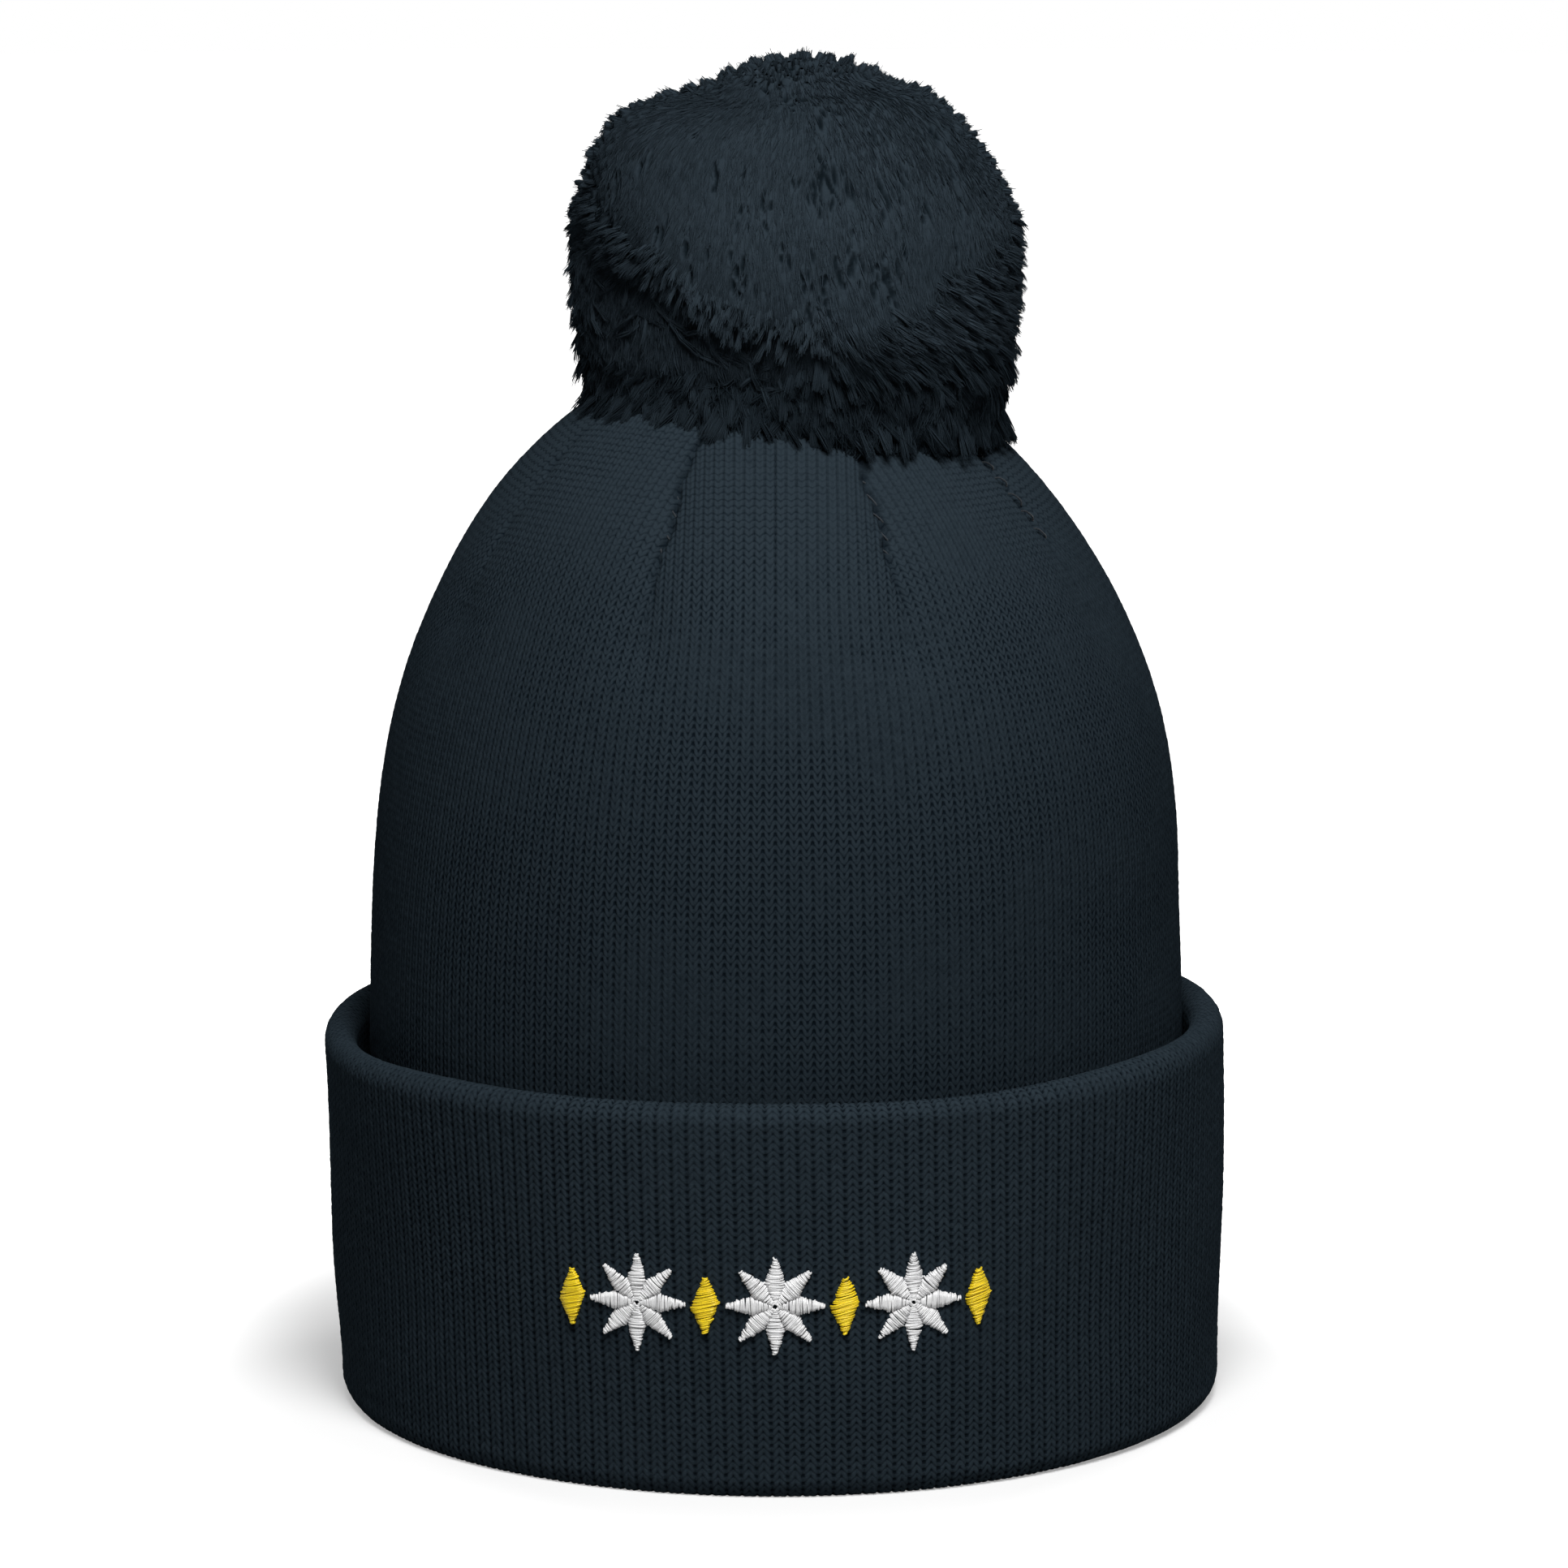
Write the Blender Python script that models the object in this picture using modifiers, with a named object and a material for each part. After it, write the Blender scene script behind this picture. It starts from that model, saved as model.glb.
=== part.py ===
"""Cuffed rib-knit beanie with a yarn pom-pom, standing on its turned-up edge.

Metres, +Z up, front of the cuff at -Y, origin on the floor under the middle of the hat.
Every ply, thread and tie is its own object, and each fit is worked out from the sizes below.
"""

import math

import bmesh
import bpy

# Knit body
CROWN_RADIUS = 0.0891
CROWN_TOP = 0.236
CROWN_STRAIGHT = 0.040
CROWN_FULLNESS = 4.0
CROWN_TAPER = 0.745
SHELL_PLY = 0.0024
LINING_PLY = 0.0022
LINING_EASE = 0.0007
TIE_HOLE = 0.0042

# Darts that close the crown
DARTS = 8
DART_DEPTH = 0.0018
DART_WIDTH = math.radians(4.5)
DART_LOW = 0.066
DART_HIGH = 0.010
DART_FADE = 0.4
DART_THREAD = 0.0005

# Turned-up cuff
RIM_HEIGHT = 0.083
CUFF_PLY = 0.0026
CUFF_AIR = 0.0012
CUFF_FLARE = 0.0019
CUFF_SLIDE = 0.0015
RIM_ROLL = 0.0040
TURN_UP = 0.0060
TURN_UP_ROUND = 0.0046

# Embroidery on the cuff
STARS = 3
STAR_TIP = 0.0105
STAR_NOTCH = 0.0052
STAR_POINTS = 8
LOZENGE_HALF_WIDTH = 0.0030
LOZENGE_HALF_HEIGHT = 0.0062
MOTIF_PITCH = 0.0145
MOTIF_RISE = 0.0010
BACKING_MARGIN = 0.004
BACKING_SHEET = 0.0005

# Pom-pom and its tie
POM_RADIUS = 0.0490
POM_RISE = 0.0460
POM_CENTRE = 0.0110
POM_FOOT = 0.0460
POM_SET_OVER = 0.0040
POM_LUMP = 0.0011
POM_TILT = math.radians(12.0)
POM_PLAY = 0.0008
SKIRT_HOLE = 0.0160
YARN_RADIUS = 0.0014
BINDING_RING = 0.0046
BINDING_YARN = 0.0027
KNOT_RADIUS = 0.0040

# Fits
GAP = 0.0003
TIE_PLAY = 0.0004

# Facet counts
ROUND_STEPS = 48
CROWN_ROWS = 16
POM_ROWS = 9
ROLL_ROWS = 8
SHARP_FROM = math.radians(40.0)

# Sizes that follow from the ones above
PIVOT = CROWN_TOP + GAP
SEAT = TURN_UP + GAP
BACK_IN = CROWN_RADIUS + CUFF_SLIDE
BACK_OUT = BACK_IN + SHELL_PLY
FACE_IN = BACK_OUT + CUFF_AIR
FACE_OUT = FACE_IN + CUFF_PLY
FACE_TOP = RIM_HEIGHT - RIM_ROLL - GAP
LINING_OFFSET = SHELL_PLY + LINING_EASE
LINING_BACK = LINING_OFFSET + LINING_PLY
MOTIF_MIDDLE = RIM_HEIGHT / 2.0
DART_SEAT = 1.15 * (DART_THREAD + GAP)
POM_CLEAR = 2.0 * DART_THREAD + GAP + POM_PLAY
SKIRT_CLEAR = DART_THREAD + 2.0 * GAP


def clear_scene():
    """Empties the scene of the objects it opens with."""
    for found in list(bpy.data.objects):
        bpy.data.objects.remove(found, do_unlink=True)


def finish(name, colour, roughness):
    """A plain Principled material."""
    made = bpy.data.materials.new(name)
    made.use_nodes = True
    shader = made.node_tree.nodes["Principled BSDF"]
    shader.inputs["Base Color"].default_value = (*colour, 1.0)
    shader.inputs["Roughness"].default_value = roughness
    shader.inputs["Metallic"].default_value = 0.0
    return made


def add(name, mesh, material, place=(0.0, 0.0, 0.0)):
    """Puts a mesh into the hat's collection as a named piece."""
    mesh.materials.append(material)
    piece = bpy.data.objects.new(name, mesh)
    piece.location = place
    HAT.objects.link(piece)
    return piece


def turned(name, profile, material, place=(0.0, 0.0, 0.0), ring=False):
    """A profile at +X, top to bottom on its outer side, turned about Z."""
    count = len(profile)
    edges = [(i, i + 1) for i in range(count - 1)]
    if ring:
        edges.append((count - 1, 0))
    mesh = bpy.data.meshes.new(name)
    mesh.from_pydata([(r, 0.0, z) for r, z in profile], edges, [])
    piece = add(name, mesh, material, place)
    screw = piece.modifiers.new("turn", "SCREW")
    screw.axis = "Z"
    screw.angle = 2.0 * math.pi
    screw.steps = ROUND_STEPS
    screw.render_steps = ROUND_STEPS
    screw.use_merge_vertices = True
    screw.merge_threshold = 0.00001
    return piece


def skin(name, rings, material, place=(0.0, 0.0, 0.0), ends="loop"):
    """A body lofted through closed rings of points, the last joined to the first or both ends capped."""
    body = bmesh.new()
    rows = [[body.verts.new(point) for point in ring] for ring in rings]
    pairs = list(zip(rows, rows[1:]))
    if ends == "loop":
        pairs.append((rows[-1], rows[0]))
    for upper, lower in pairs:
        count = max(len(upper), len(lower))
        for i in range(count):
            j = (i + 1) % count
            corners = [upper[i % len(upper)], upper[j % len(upper)]]
            corners += [lower[j % len(lower)], lower[i % len(lower)]]
            body.faces.new(list(dict.fromkeys(corners)))
    bmesh.ops.recalc_face_normals(body, faces=body.faces)
    mesh = bpy.data.meshes.new(name)
    body.to_mesh(mesh)
    body.free()
    mesh.shade_smooth()
    mesh.set_sharp_from_angle(angle=SHARP_FROM)
    return add(name, mesh, material, place)


def crown_radius(height):
    """Outer radius of the crown at a height."""
    closing = max(0.0, (height - CROWN_STRAIGHT) / (CROWN_TOP - CROWN_STRAIGHT))
    return CROWN_RADIUS * (1.0 - closing**CROWN_FULLNESS) ** CROWN_TAPER


def crown_height(radius):
    """Height at which the crown has closed in to a radius."""
    closing = 1.0 - (radius / CROWN_RADIUS) ** (1.0 / CROWN_TAPER)
    return CROWN_STRAIGHT + (CROWN_TOP - CROWN_STRAIGHT) * closing ** (1.0 / CROWN_FULLNESS)


def crown_normal(height):
    """Outward direction (r, z) of the crown's side at a height."""
    step = 0.0001
    below = height - step
    run = crown_radius(below) - crown_radius(height)
    length = math.hypot(run, step)
    return step / length, run / length


def crown_stations(rows):
    """Heights that split the crown's side, from its seat to the tie hole, into equal lengths."""
    fine = 600
    low, high = SEAT, crown_height(TIE_HOLE)
    heights = [low + (high - low) * math.sin(0.5 * math.pi * i / fine) for i in range(fine + 1)]
    lengths = [0.0]
    for a, b in zip(heights, heights[1:]):
        lengths.append(lengths[-1] + math.hypot(b - a, crown_radius(b) - crown_radius(a)))
    chosen = []
    for row in range(rows + 1):
        wanted = lengths[-1] * row / rows
        chosen.append(min(range(fine + 1), key=lambda i: abs(lengths[i] - wanted)))
    return [heights[i] for i in chosen]


def dart_angle(index):
    """Azimuth of a dart, the first pair straddling the front."""
    return -0.5 * math.pi + 2.0 * math.pi * (index + 0.5) / DARTS


def dart_valley(height, angle):
    """Depth of the sewn valley at a place on the crown."""
    radius = crown_radius(height)
    if not DART_HIGH < radius < DART_LOW:
        return 0.0
    along = (radius - DART_HIGH) / (DART_LOW - DART_HIGH)
    spacing = 2.0 * math.pi / DARTS
    aside = (angle - dart_angle(0) + 0.5 * spacing) % spacing - 0.5 * spacing
    return DART_DEPTH * math.sin(math.pi * along) ** DART_FADE * math.exp(-((aside / DART_WIDTH) ** 2))


def crown_point(height, angle, inward=0.0):
    """A point of the crown's outer face, or one set inward from it."""
    out, up = crown_normal(height)
    depth = inward + dart_valley(height, angle)
    radius = crown_radius(height) - out * depth
    return radius * math.cos(angle), radius * math.sin(angle), height - up * depth


def crown_ply(name, outer, inner, material):
    """One ply of the crown between two depths below its outer face."""
    angles = [dart_angle(0) + 2.0 * math.pi * i / ROUND_STEPS for i in range(ROUND_STEPS)]
    stations = crown_stations(CROWN_ROWS)
    rings = [[crown_point(h, a, outer) for a in angles] for h in stations]
    rings += [[crown_point(h, a, inner) for a in angles] for h in reversed(stations)]
    return skin(name, rings, material)


def thread(name, points, radius, material):
    """A sewn thread as a round curve through points."""
    curve = bpy.data.curves.new(name, "CURVE")
    curve.dimensions = "3D"
    curve.bevel_depth = radius
    curve.bevel_resolution = 1
    curve.use_fill_caps = True
    line = curve.splines.new("POLY")
    line.points.add(len(points) - 1)
    for point, place in zip(line.points, points):
        point.co = (*place, 1.0)
    curve.materials.append(material)
    piece = bpy.data.objects.new(name, curve)
    HAT.objects.link(piece)
    return piece


def face_radius(height, inner=False):
    """Radius of the cuff's outer ply, which flares a little towards the rim."""
    base = FACE_IN if inner else FACE_OUT
    return base + CUFF_FLARE * (height - SEAT) / (FACE_TOP - SEAT)


def on_cuff(aside, height, radius):
    """A point at a distance round the cuff from its front middle."""
    angle = -0.5 * math.pi + aside / radius
    return radius * math.cos(angle), radius * math.sin(angle), height


def motif(name, outline, aside, material):
    """An embroidered patch laid on the cuff: an outline about a middle, with an even rise."""
    rings = []
    for lift, shrink in ((GAP, 0.0), (GAP, 1.0), (GAP + MOTIF_RISE, 1.0), (GAP + MOTIF_RISE, 0.0)):
        if shrink:
            places = [(aside + x, MOTIF_MIDDLE + y) for x, y in outline]
        else:
            places = [(aside, MOTIF_MIDDLE)]
        rings.append([on_cuff(x, z, face_radius(z) + lift) for x, z in places])
    return skin(name, rings, material, ends="cap")


def star_outline():
    """Points and notches of a star, a point upright."""
    corners = []
    for i in range(2 * STAR_POINTS):
        reach = STAR_NOTCH if i % 2 else STAR_TIP
        turn = math.pi * i / STAR_POINTS
        corners.append((reach * math.sin(turn), reach * math.cos(turn)))
    return corners


def lozenge_outline():
    """Corners of a lozenge standing on its point."""
    return [
        (0.0, LOZENGE_HALF_HEIGHT),
        (LOZENGE_HALF_WIDTH, 0.0),
        (0.0, -LOZENGE_HALF_HEIGHT),
        (-LOZENGE_HALF_WIDTH, 0.0),
    ]


def arc(middle, reach, start, end, rows):
    """Points of an elliptical arc in the (r, z) plane, angles from +r."""
    places = []
    for i in range(rows + 1):
        turn = start + (end - start) * i / rows
        places.append((middle[0] + reach[0] * math.cos(turn), middle[1] + reach[1] * math.sin(turn)))
    return places


def build_cuff():
    """The turned-up band: face ply, back ply, rolled rim and the turn-up it stands on."""
    top_out, low_out = face_radius(FACE_TOP), face_radius(SEAT)
    top_in, low_in = face_radius(FACE_TOP, True), face_radius(SEAT, True)
    face = [(top_out, FACE_TOP), (low_out, SEAT), (low_in, SEAT), (top_in, FACE_TOP)]
    turned("cuff_face", face, FACE_YARN, ring=True)
    back = [(BACK_OUT, FACE_TOP), (BACK_OUT, SEAT), (BACK_IN, SEAT), (BACK_IN, FACE_TOP)]
    turned("cuff_back", back, KNIT_YARN, ring=True)
    middle = 0.5 * (top_out + BACK_IN)
    half = 0.5 * (top_out - BACK_IN)
    roll = arc((middle, FACE_TOP + GAP), (half, RIM_ROLL), math.pi, 0.0, ROLL_ROWS)
    turned("cuff_rim", roll, FACE_YARN, ring=True)
    inside = CROWN_RADIUS - LINING_BACK
    quarter = ROLL_ROWS // 2
    rounding = (TURN_UP_ROUND, TURN_UP_ROUND)
    fold = [(low_out, TURN_UP)]
    fold += arc((low_out - TURN_UP_ROUND, TURN_UP_ROUND), rounding, 0.0, -0.5 * math.pi, quarter)
    fold += arc((inside + TURN_UP_ROUND, TURN_UP_ROUND), rounding, -0.5 * math.pi, -math.pi, quarter)
    fold += [(inside, TURN_UP)]
    turned("cuff_turn_up", fold, FACE_YARN, ring=True)


def build_embroidery():
    """A row of stars between lozenges on the cuff's front, with the backing sheet behind it."""
    count = 2 * STARS + 1
    for i in range(count):
        aside = MOTIF_PITCH * (i - STARS)
        if i % 2:
            motif(f"embroidered_star_{i // 2 + 1}", star_outline(), aside, WHITE_THREAD)
        else:
            motif(f"embroidered_lozenge_{i // 2 + 1}", lozenge_outline(), aside, YELLOW_THREAD)
    reach = MOTIF_PITCH * STARS + LOZENGE_HALF_WIDTH + BACKING_MARGIN
    tall = max(STAR_TIP, LOZENGE_HALF_HEIGHT) + BACKING_MARGIN
    low, high = MOTIF_MIDDLE - tall, MOTIF_MIDDLE + tall
    clear = face_radius(low, True) * math.cos(math.pi / ROUND_STEPS) - GAP
    rings = []
    for i in range(ROUND_STEPS // 4 + 1):
        aside = reach * (8.0 * i / ROUND_STEPS - 1.0)
        section = [(low, clear), (high, clear), (high, clear - BACKING_SHEET), (low, clear - BACKING_SHEET)]
        angle = -0.5 * math.pi + aside / clear
        rings.append([(r * math.cos(angle), r * math.sin(angle), z) for z, r in section])
    middle = [tuple(sum(c) / 4.0 for c in zip(*rings[k])) for k in (0, -1)]
    skin("embroidery_backing", [[middle[0]], *rings, [middle[1]]], BACKING_FELT, ends="cap")


def build_crown():
    """Outer shell and lining of the crown, the dart threads and the closing thread at its tip."""
    crown_ply("crown_shell", 0.0, SHELL_PLY, KNIT_YARN)
    crown_ply("crown_lining", LINING_OFFSET, LINING_BACK, LINING_YARN)
    stations = [DART_HIGH + (DART_LOW - DART_HIGH) * i / CROWN_ROWS for i in range(1, CROWN_ROWS)]
    for index in range(DARTS):
        angle = dart_angle(index)
        places = [crown_point(crown_height(r), angle, -DART_SEAT) for r in stations]
        thread(f"dart_stitch_{index + 1}", places, DART_THREAD, SEWING_THREAD)
    ring = 0.5 * (TIE_HOLE + DART_HIGH)
    height = crown_height(ring)
    out, up = crown_normal(height)
    lift = DART_THREAD + GAP
    middle = (ring + out * lift, height + up * lift)
    section = arc(middle, (DART_THREAD, DART_THREAD), 2.0 * math.pi, 0.0, ROLL_ROWS)[:-1]
    turned("closing_stitch", section, SEWING_THREAD, ring=True)


def pom_underside(radius):
    """Height, from the pivot, of the pom's lower face: the crown's tip turned clear by the tilt."""
    low, high = 0.0, CROWN_RADIUS
    for _ in range(40):
        middle = 0.5 * (low + high)
        rise = crown_height(middle) - PIVOT
        if middle * math.cos(POM_TILT) - rise * math.sin(POM_TILT) < radius:
            low = middle
        else:
            high = middle
    rise = crown_height(low) - PIVOT
    return low * math.sin(POM_TILT) + rise * math.cos(POM_TILT) + POM_CLEAR


def lump(turn, along):
    """Uneven bulges of the clipped yarn, the same on every build."""
    broad = math.sin(3.0 * turn + 5.0 * along) * math.cos(2.0 * turn - 3.0 * along)
    fine = math.sin(7.0 * turn - 4.0 * along) * math.sin(9.0 * along + 2.0)
    return POM_LUMP * (broad + 0.7 * fine)


def turns():
    """Azimuths of the points on a ring."""
    return [2.0 * math.pi * i / ROUND_STEPS for i in range(ROUND_STEPS)]


def pom_ring(radius, share=1.0, rise=0.0):
    """A ring of the pom's lower face, set over with the ball, its height following the crown."""
    places = []
    for turn in turns():
        x = radius * math.cos(turn) + POM_SET_OVER * share
        y = radius * math.sin(turn)
        places.append((x, y, pom_underside(math.hypot(x, y)) + rise))
    return places


def crown_ring(radius, share=1.0):
    """A ring lying just off the crown under the pom, heights from the pivot."""
    places = []
    for turn in turns():
        x = radius * math.cos(turn) + POM_SET_OVER * share
        y = radius * math.sin(turn)
        places.append((x, y, crown_height(math.hypot(x, y)) - PIVOT + SKIRT_CLEAR))
    return places


def between(first, second, share, swell=0.0):
    """A ring part of the way from one ring to another, swollen outward."""
    places = []
    for a, b, turn in zip(first, second, turns()):
        x, y, z = (p + (q - p) * share for p, q in zip(a, b))
        places.append((x + swell * math.cos(turn), y + swell * math.sin(turn), z))
    return places


def level_ring(radius, height):
    """A ring about the tie's axis."""
    return [(radius * math.cos(t), radius * math.sin(t), height) for t in turns()]


def build_pom():
    """Yarn ball with its bore, the fringe under it, the binding and the tie down into the crown."""
    pivot = (0.0, 0.0, PIVOT)
    bore = YARN_RADIUS + TIE_PLAY + GAP
    chamber = BINDING_RING + BINDING_YARN + TIE_PLAY
    floor = POM_CENTRE - BINDING_YARN - TIE_PLAY
    ceiling = POM_CENTRE + BINDING_YARN + TIE_PLAY
    cap = arc((0.0, POM_CENTRE), (POM_RADIUS, POM_RISE), 0.5 * math.pi, 0.0, POM_ROWS)
    rings = [[(POM_SET_OVER, 0.0, cap[0][1])]]
    for row, (radius, height) in enumerate(cap[1:]):
        ring = []
        for turn in turns():
            reach = radius + lump(turn, math.pi * row / POM_ROWS)
            ring.append((reach * math.cos(turn) + POM_SET_OVER, reach * math.sin(turn), height))
        rings.append(ring)
    foot = pom_ring(POM_FOOT)
    sag = 0.5 * (POM_RADIUS - POM_FOOT)
    rings += [between(rings[-1], foot, i / 3.0, sag * (1.0 - i / 3.0)) for i in (1, 2)]
    under = [POM_FOOT + (DART_HIGH - POM_FOOT) * i / POM_ROWS for i in range(POM_ROWS + 1)]
    rings += [pom_ring(r, (r - DART_HIGH) / (POM_FOOT - DART_HIGH)) for r in under]
    rings += [level_ring(bore, pom_underside(DART_HIGH)), level_ring(bore, floor)]
    rings += [level_ring(chamber, floor), level_ring(chamber, ceiling), [(0.0, 0.0, ceiling)]]
    skin("pom_strands", rings, POM_YARN, pivot, ends="cap")

    kept = [r for r in under if r > SKIRT_HOLE]
    shares = [(r - DART_HIGH) / (POM_FOOT - DART_HIGH) for r in kept]
    edge = [pom_ring(POM_FOOT, 1.0, -GAP), crown_ring(POM_FOOT)]
    fringe = [between(edge[0], edge[1], i / 3.0, 0.2 * sag) for i in (1, 2)]
    fringe += [crown_ring(r, s) for r, s in zip(kept, shares)]
    fringe += [pom_ring(r, s, -GAP) for r, s in zip(reversed(kept), reversed(shares))]
    skin("pom_skirt", fringe, POM_YARN, pivot)

    section = arc((BINDING_RING, POM_CENTRE), (BINDING_YARN, BINDING_YARN), 2.0 * math.pi, 0.0, ROLL_ROWS)
    turned("pom_binding", section[:-1], POM_YARN, pivot, ring=True)
    heel = TIE_PLAY + YARN_RADIUS * math.sin(POM_TILT)
    top = ceiling - GAP
    stem = [(0.0, top), (YARN_RADIUS, top), (YARN_RADIUS, heel), (0.0, heel)]
    turned("tie_stem", stem, POM_YARN, pivot)
    lining_low = crown_point(crown_height(TIE_HOLE), dart_angle(0), LINING_BACK)[2] - PIVOT
    knot = lining_low - GAP - KNOT_RADIUS
    neck = math.asin(YARN_RADIUS / KNOT_RADIUS)
    ball = arc((0.0, knot), (KNOT_RADIUS, KNOT_RADIUS), 0.5 * math.pi - neck, -0.5 * math.pi, ROLL_ROWS)
    tail = [(0.0, 0.0), (YARN_RADIUS, 0.0)] + ball[:-1] + [(0.0, ball[-1][1])]
    turned("tie_tail", tail, POM_YARN, pivot)


clear_scene()
HAT = bpy.data.collections.new("cuffed_pom_beanie")
bpy.context.scene.collection.children.link(HAT)
KNIT_YARN = finish("knit_yarn", (0.013, 0.021, 0.028), 0.95)
FACE_YARN = finish("cuff_yarn", (0.012, 0.019, 0.026), 0.95)
LINING_YARN = finish("lining_yarn", (0.012, 0.018, 0.024), 0.95)
POM_YARN = finish("pom_yarn", (0.012, 0.019, 0.025), 0.95)
SEWING_THREAD = finish("sewing_thread", (0.010, 0.014, 0.020), 0.80)
WHITE_THREAD = finish("white_thread", (0.62, 0.62, 0.62), 0.45)
YELLOW_THREAD = finish("yellow_thread", (0.78, 0.56, 0.012), 0.45)
BACKING_FELT = finish("backing_felt", (0.035, 0.038, 0.042), 0.95)
build_cuff()
build_embroidery()
build_crown()
build_pom()
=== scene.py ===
"""Dresses a cuffed rib-knit beanie: stitched knit, yarn pom-pom, sewn darts and an embroidered row.

Metres, +Z up, front of the cuff at -Y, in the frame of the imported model.
"""

import logging
import math
from dataclasses import dataclass, field
from enum import Enum
from typing import Any

import bpy
import numpy as np
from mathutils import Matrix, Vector
from mathutils.kdtree import KDTree


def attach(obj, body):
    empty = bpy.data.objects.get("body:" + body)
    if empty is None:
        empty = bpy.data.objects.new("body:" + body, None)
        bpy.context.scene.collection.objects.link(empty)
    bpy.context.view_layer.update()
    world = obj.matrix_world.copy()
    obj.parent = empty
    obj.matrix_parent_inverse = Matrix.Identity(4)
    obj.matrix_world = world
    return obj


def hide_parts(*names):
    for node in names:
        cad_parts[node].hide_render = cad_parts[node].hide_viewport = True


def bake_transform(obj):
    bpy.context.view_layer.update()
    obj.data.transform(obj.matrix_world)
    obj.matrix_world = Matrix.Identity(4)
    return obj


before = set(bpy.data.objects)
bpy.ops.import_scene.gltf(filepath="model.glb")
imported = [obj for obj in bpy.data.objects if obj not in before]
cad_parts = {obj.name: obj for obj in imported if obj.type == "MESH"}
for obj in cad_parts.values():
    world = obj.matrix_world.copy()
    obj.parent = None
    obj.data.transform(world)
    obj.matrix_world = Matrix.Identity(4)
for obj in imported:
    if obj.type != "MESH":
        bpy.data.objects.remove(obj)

LOG = logging.getLogger("beanie")
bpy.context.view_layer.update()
BAKE_MAP = "OFBake"
FULL_TURN = 2.0 * math.pi
QUARTER_TURN = 0.5 * math.pi
FRONT = -QUARTER_TURN

Array = np.ndarray
Rng = np.random.Generator
Colour = tuple[float, float, float]
Place = tuple[float, float, float]
Span = tuple[float, float]
Box = tuple[float, float, float, float]
Marks = dict[str, Array]
Strands = tuple[Array, Array, Array]

WHOLE_MAP: Box = (0.0, 0.0, 1.0, 1.0)
MAP_MARGIN = 0.08
THREAD_SIDES = 6
TUFT_SIDES = 5
FIBRE_SIDES = 3
SIDEWAYS = np.array([1.0, 0.0, 0.0])
UPWARD = np.array([0.0, 0.0, 1.0])
STEEP = 0.8

# One stitch, in shares of a rib across and of a course along: where a leg of yarn runs, how fast it climbs,
# and where the holes beside the purl bars and between the knit legs come.
LEG_PLACE = 0.235
LEG_SLOPE = 1.9
PURL_PHASE = (0.5 - LEG_PLACE) * LEG_SLOPE
KNIT_PHASE = -LEG_PLACE * LEG_SLOPE


class Body(Enum):
    """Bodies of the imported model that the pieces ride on."""

    CUFF = "cuff"
    CROWN = "crown"
    TIE = "pom_tie"
    POM = "pom"


class Facing(Enum):
    """Which way a knit surface shows its right side."""

    OUT = 1
    IN = -1


def smooth(low: float, high: float, value: Array) -> Array:
    """A smooth step from 0 at low to 1 at high, where high may be the lower."""
    share = np.clip((value - low) / (high - low), 0.0, 1.0)
    return share * share * (3.0 - 2.0 * share)


def hump(value: Array, width: float) -> Array:
    """A round hump, 1 where the value is 0 and gone a few widths away."""
    return np.exp(-((value / width) ** 2))


def unit(vectors: Array) -> Array:
    """Vectors along the last axis, each made one long."""
    return vectors / np.maximum(np.linalg.norm(vectors, axis=-1, keepdims=True), 1e-12)


def square_to(ahead: Array, chord: Array) -> tuple[Array, Array]:
    """Two directions square to strands and to each other, the first chosen by each strand's chord."""
    first = unit(np.cross(np.where(np.abs(chord[..., 2:]) > STEEP, SIDEWAYS, UPWARD), ahead))
    return first, np.cross(ahead, first)


def wrapped(reach: Array, height: Array, azimuth: Array) -> Array:
    """Places by row and column, from radii and heights at azimuths."""
    return np.stack([reach * np.cos(azimuth), reach * np.sin(azimuth), height], axis=-1)


def look_at(made: bpy.types.Object, place: Place, aim: Place) -> None:
    """Puts a lamp or the camera at a place, turned to what it aims at, in the scene.

    Args:
        made: The lamp or camera.
        place: Where it stands.
        aim: What it is turned to.
    """
    made.location = place
    made.rotation_euler = (Vector(aim) - Vector(place)).to_track_quat("-Z", "Y").to_euler()
    bpy.context.scene.collection.objects.link(made)


class Signal:
    """A shader socket that takes part in Python sums."""

    def __init__(self, bench: "Bench", socket: bpy.types.NodeSocket | None) -> None:
        """Keeps the socket and the bench its nodes stand on."""
        self.bench = bench
        self.socket = socket

    def _math(self, operation: str, first: "Signal | float", second: "Signal | float") -> "Signal":
        """Adds one Math node and hands back its output."""
        return self.bench.node("ShaderNodeMath", {"operation": operation}, {0: first, 1: second})

    def __add__(self, other: "Signal | float") -> "Signal":
        """Sum."""
        return self._math("ADD", self, other)

    __radd__ = __add__

    def __sub__(self, other: "Signal | float") -> "Signal":
        """Difference."""
        return self._math("SUBTRACT", self, other)

    def __rsub__(self, other: float) -> "Signal":
        """Difference with a number first."""
        return self._math("SUBTRACT", other, self)

    def __mul__(self, other: "Signal | float") -> "Signal":
        """Product."""
        return self._math("MULTIPLY", self, other)

    __rmul__ = __mul__

    def __abs__(self) -> "Signal":
        """Size without sign."""
        return self._math("ABSOLUTE", self, 0.0)

    def __mod__(self, other: float) -> "Signal":
        """Remainder, never below zero."""
        return self._math("FLOORED_MODULO", self, other)

    def step(self, low: float, high: float) -> "Signal":
        """A smooth step from 0 at low to 1 at high, where high may be the lower."""
        ends = {1: low, 2: high, 3: 0.0, 4: 1.0} if low < high else {1: high, 2: low, 3: 1.0, 4: 0.0}
        return self.bench.node("ShaderNodeMapRange", {"interpolation_type": "SMOOTHSTEP"}, {0: self, **ends})


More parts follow.
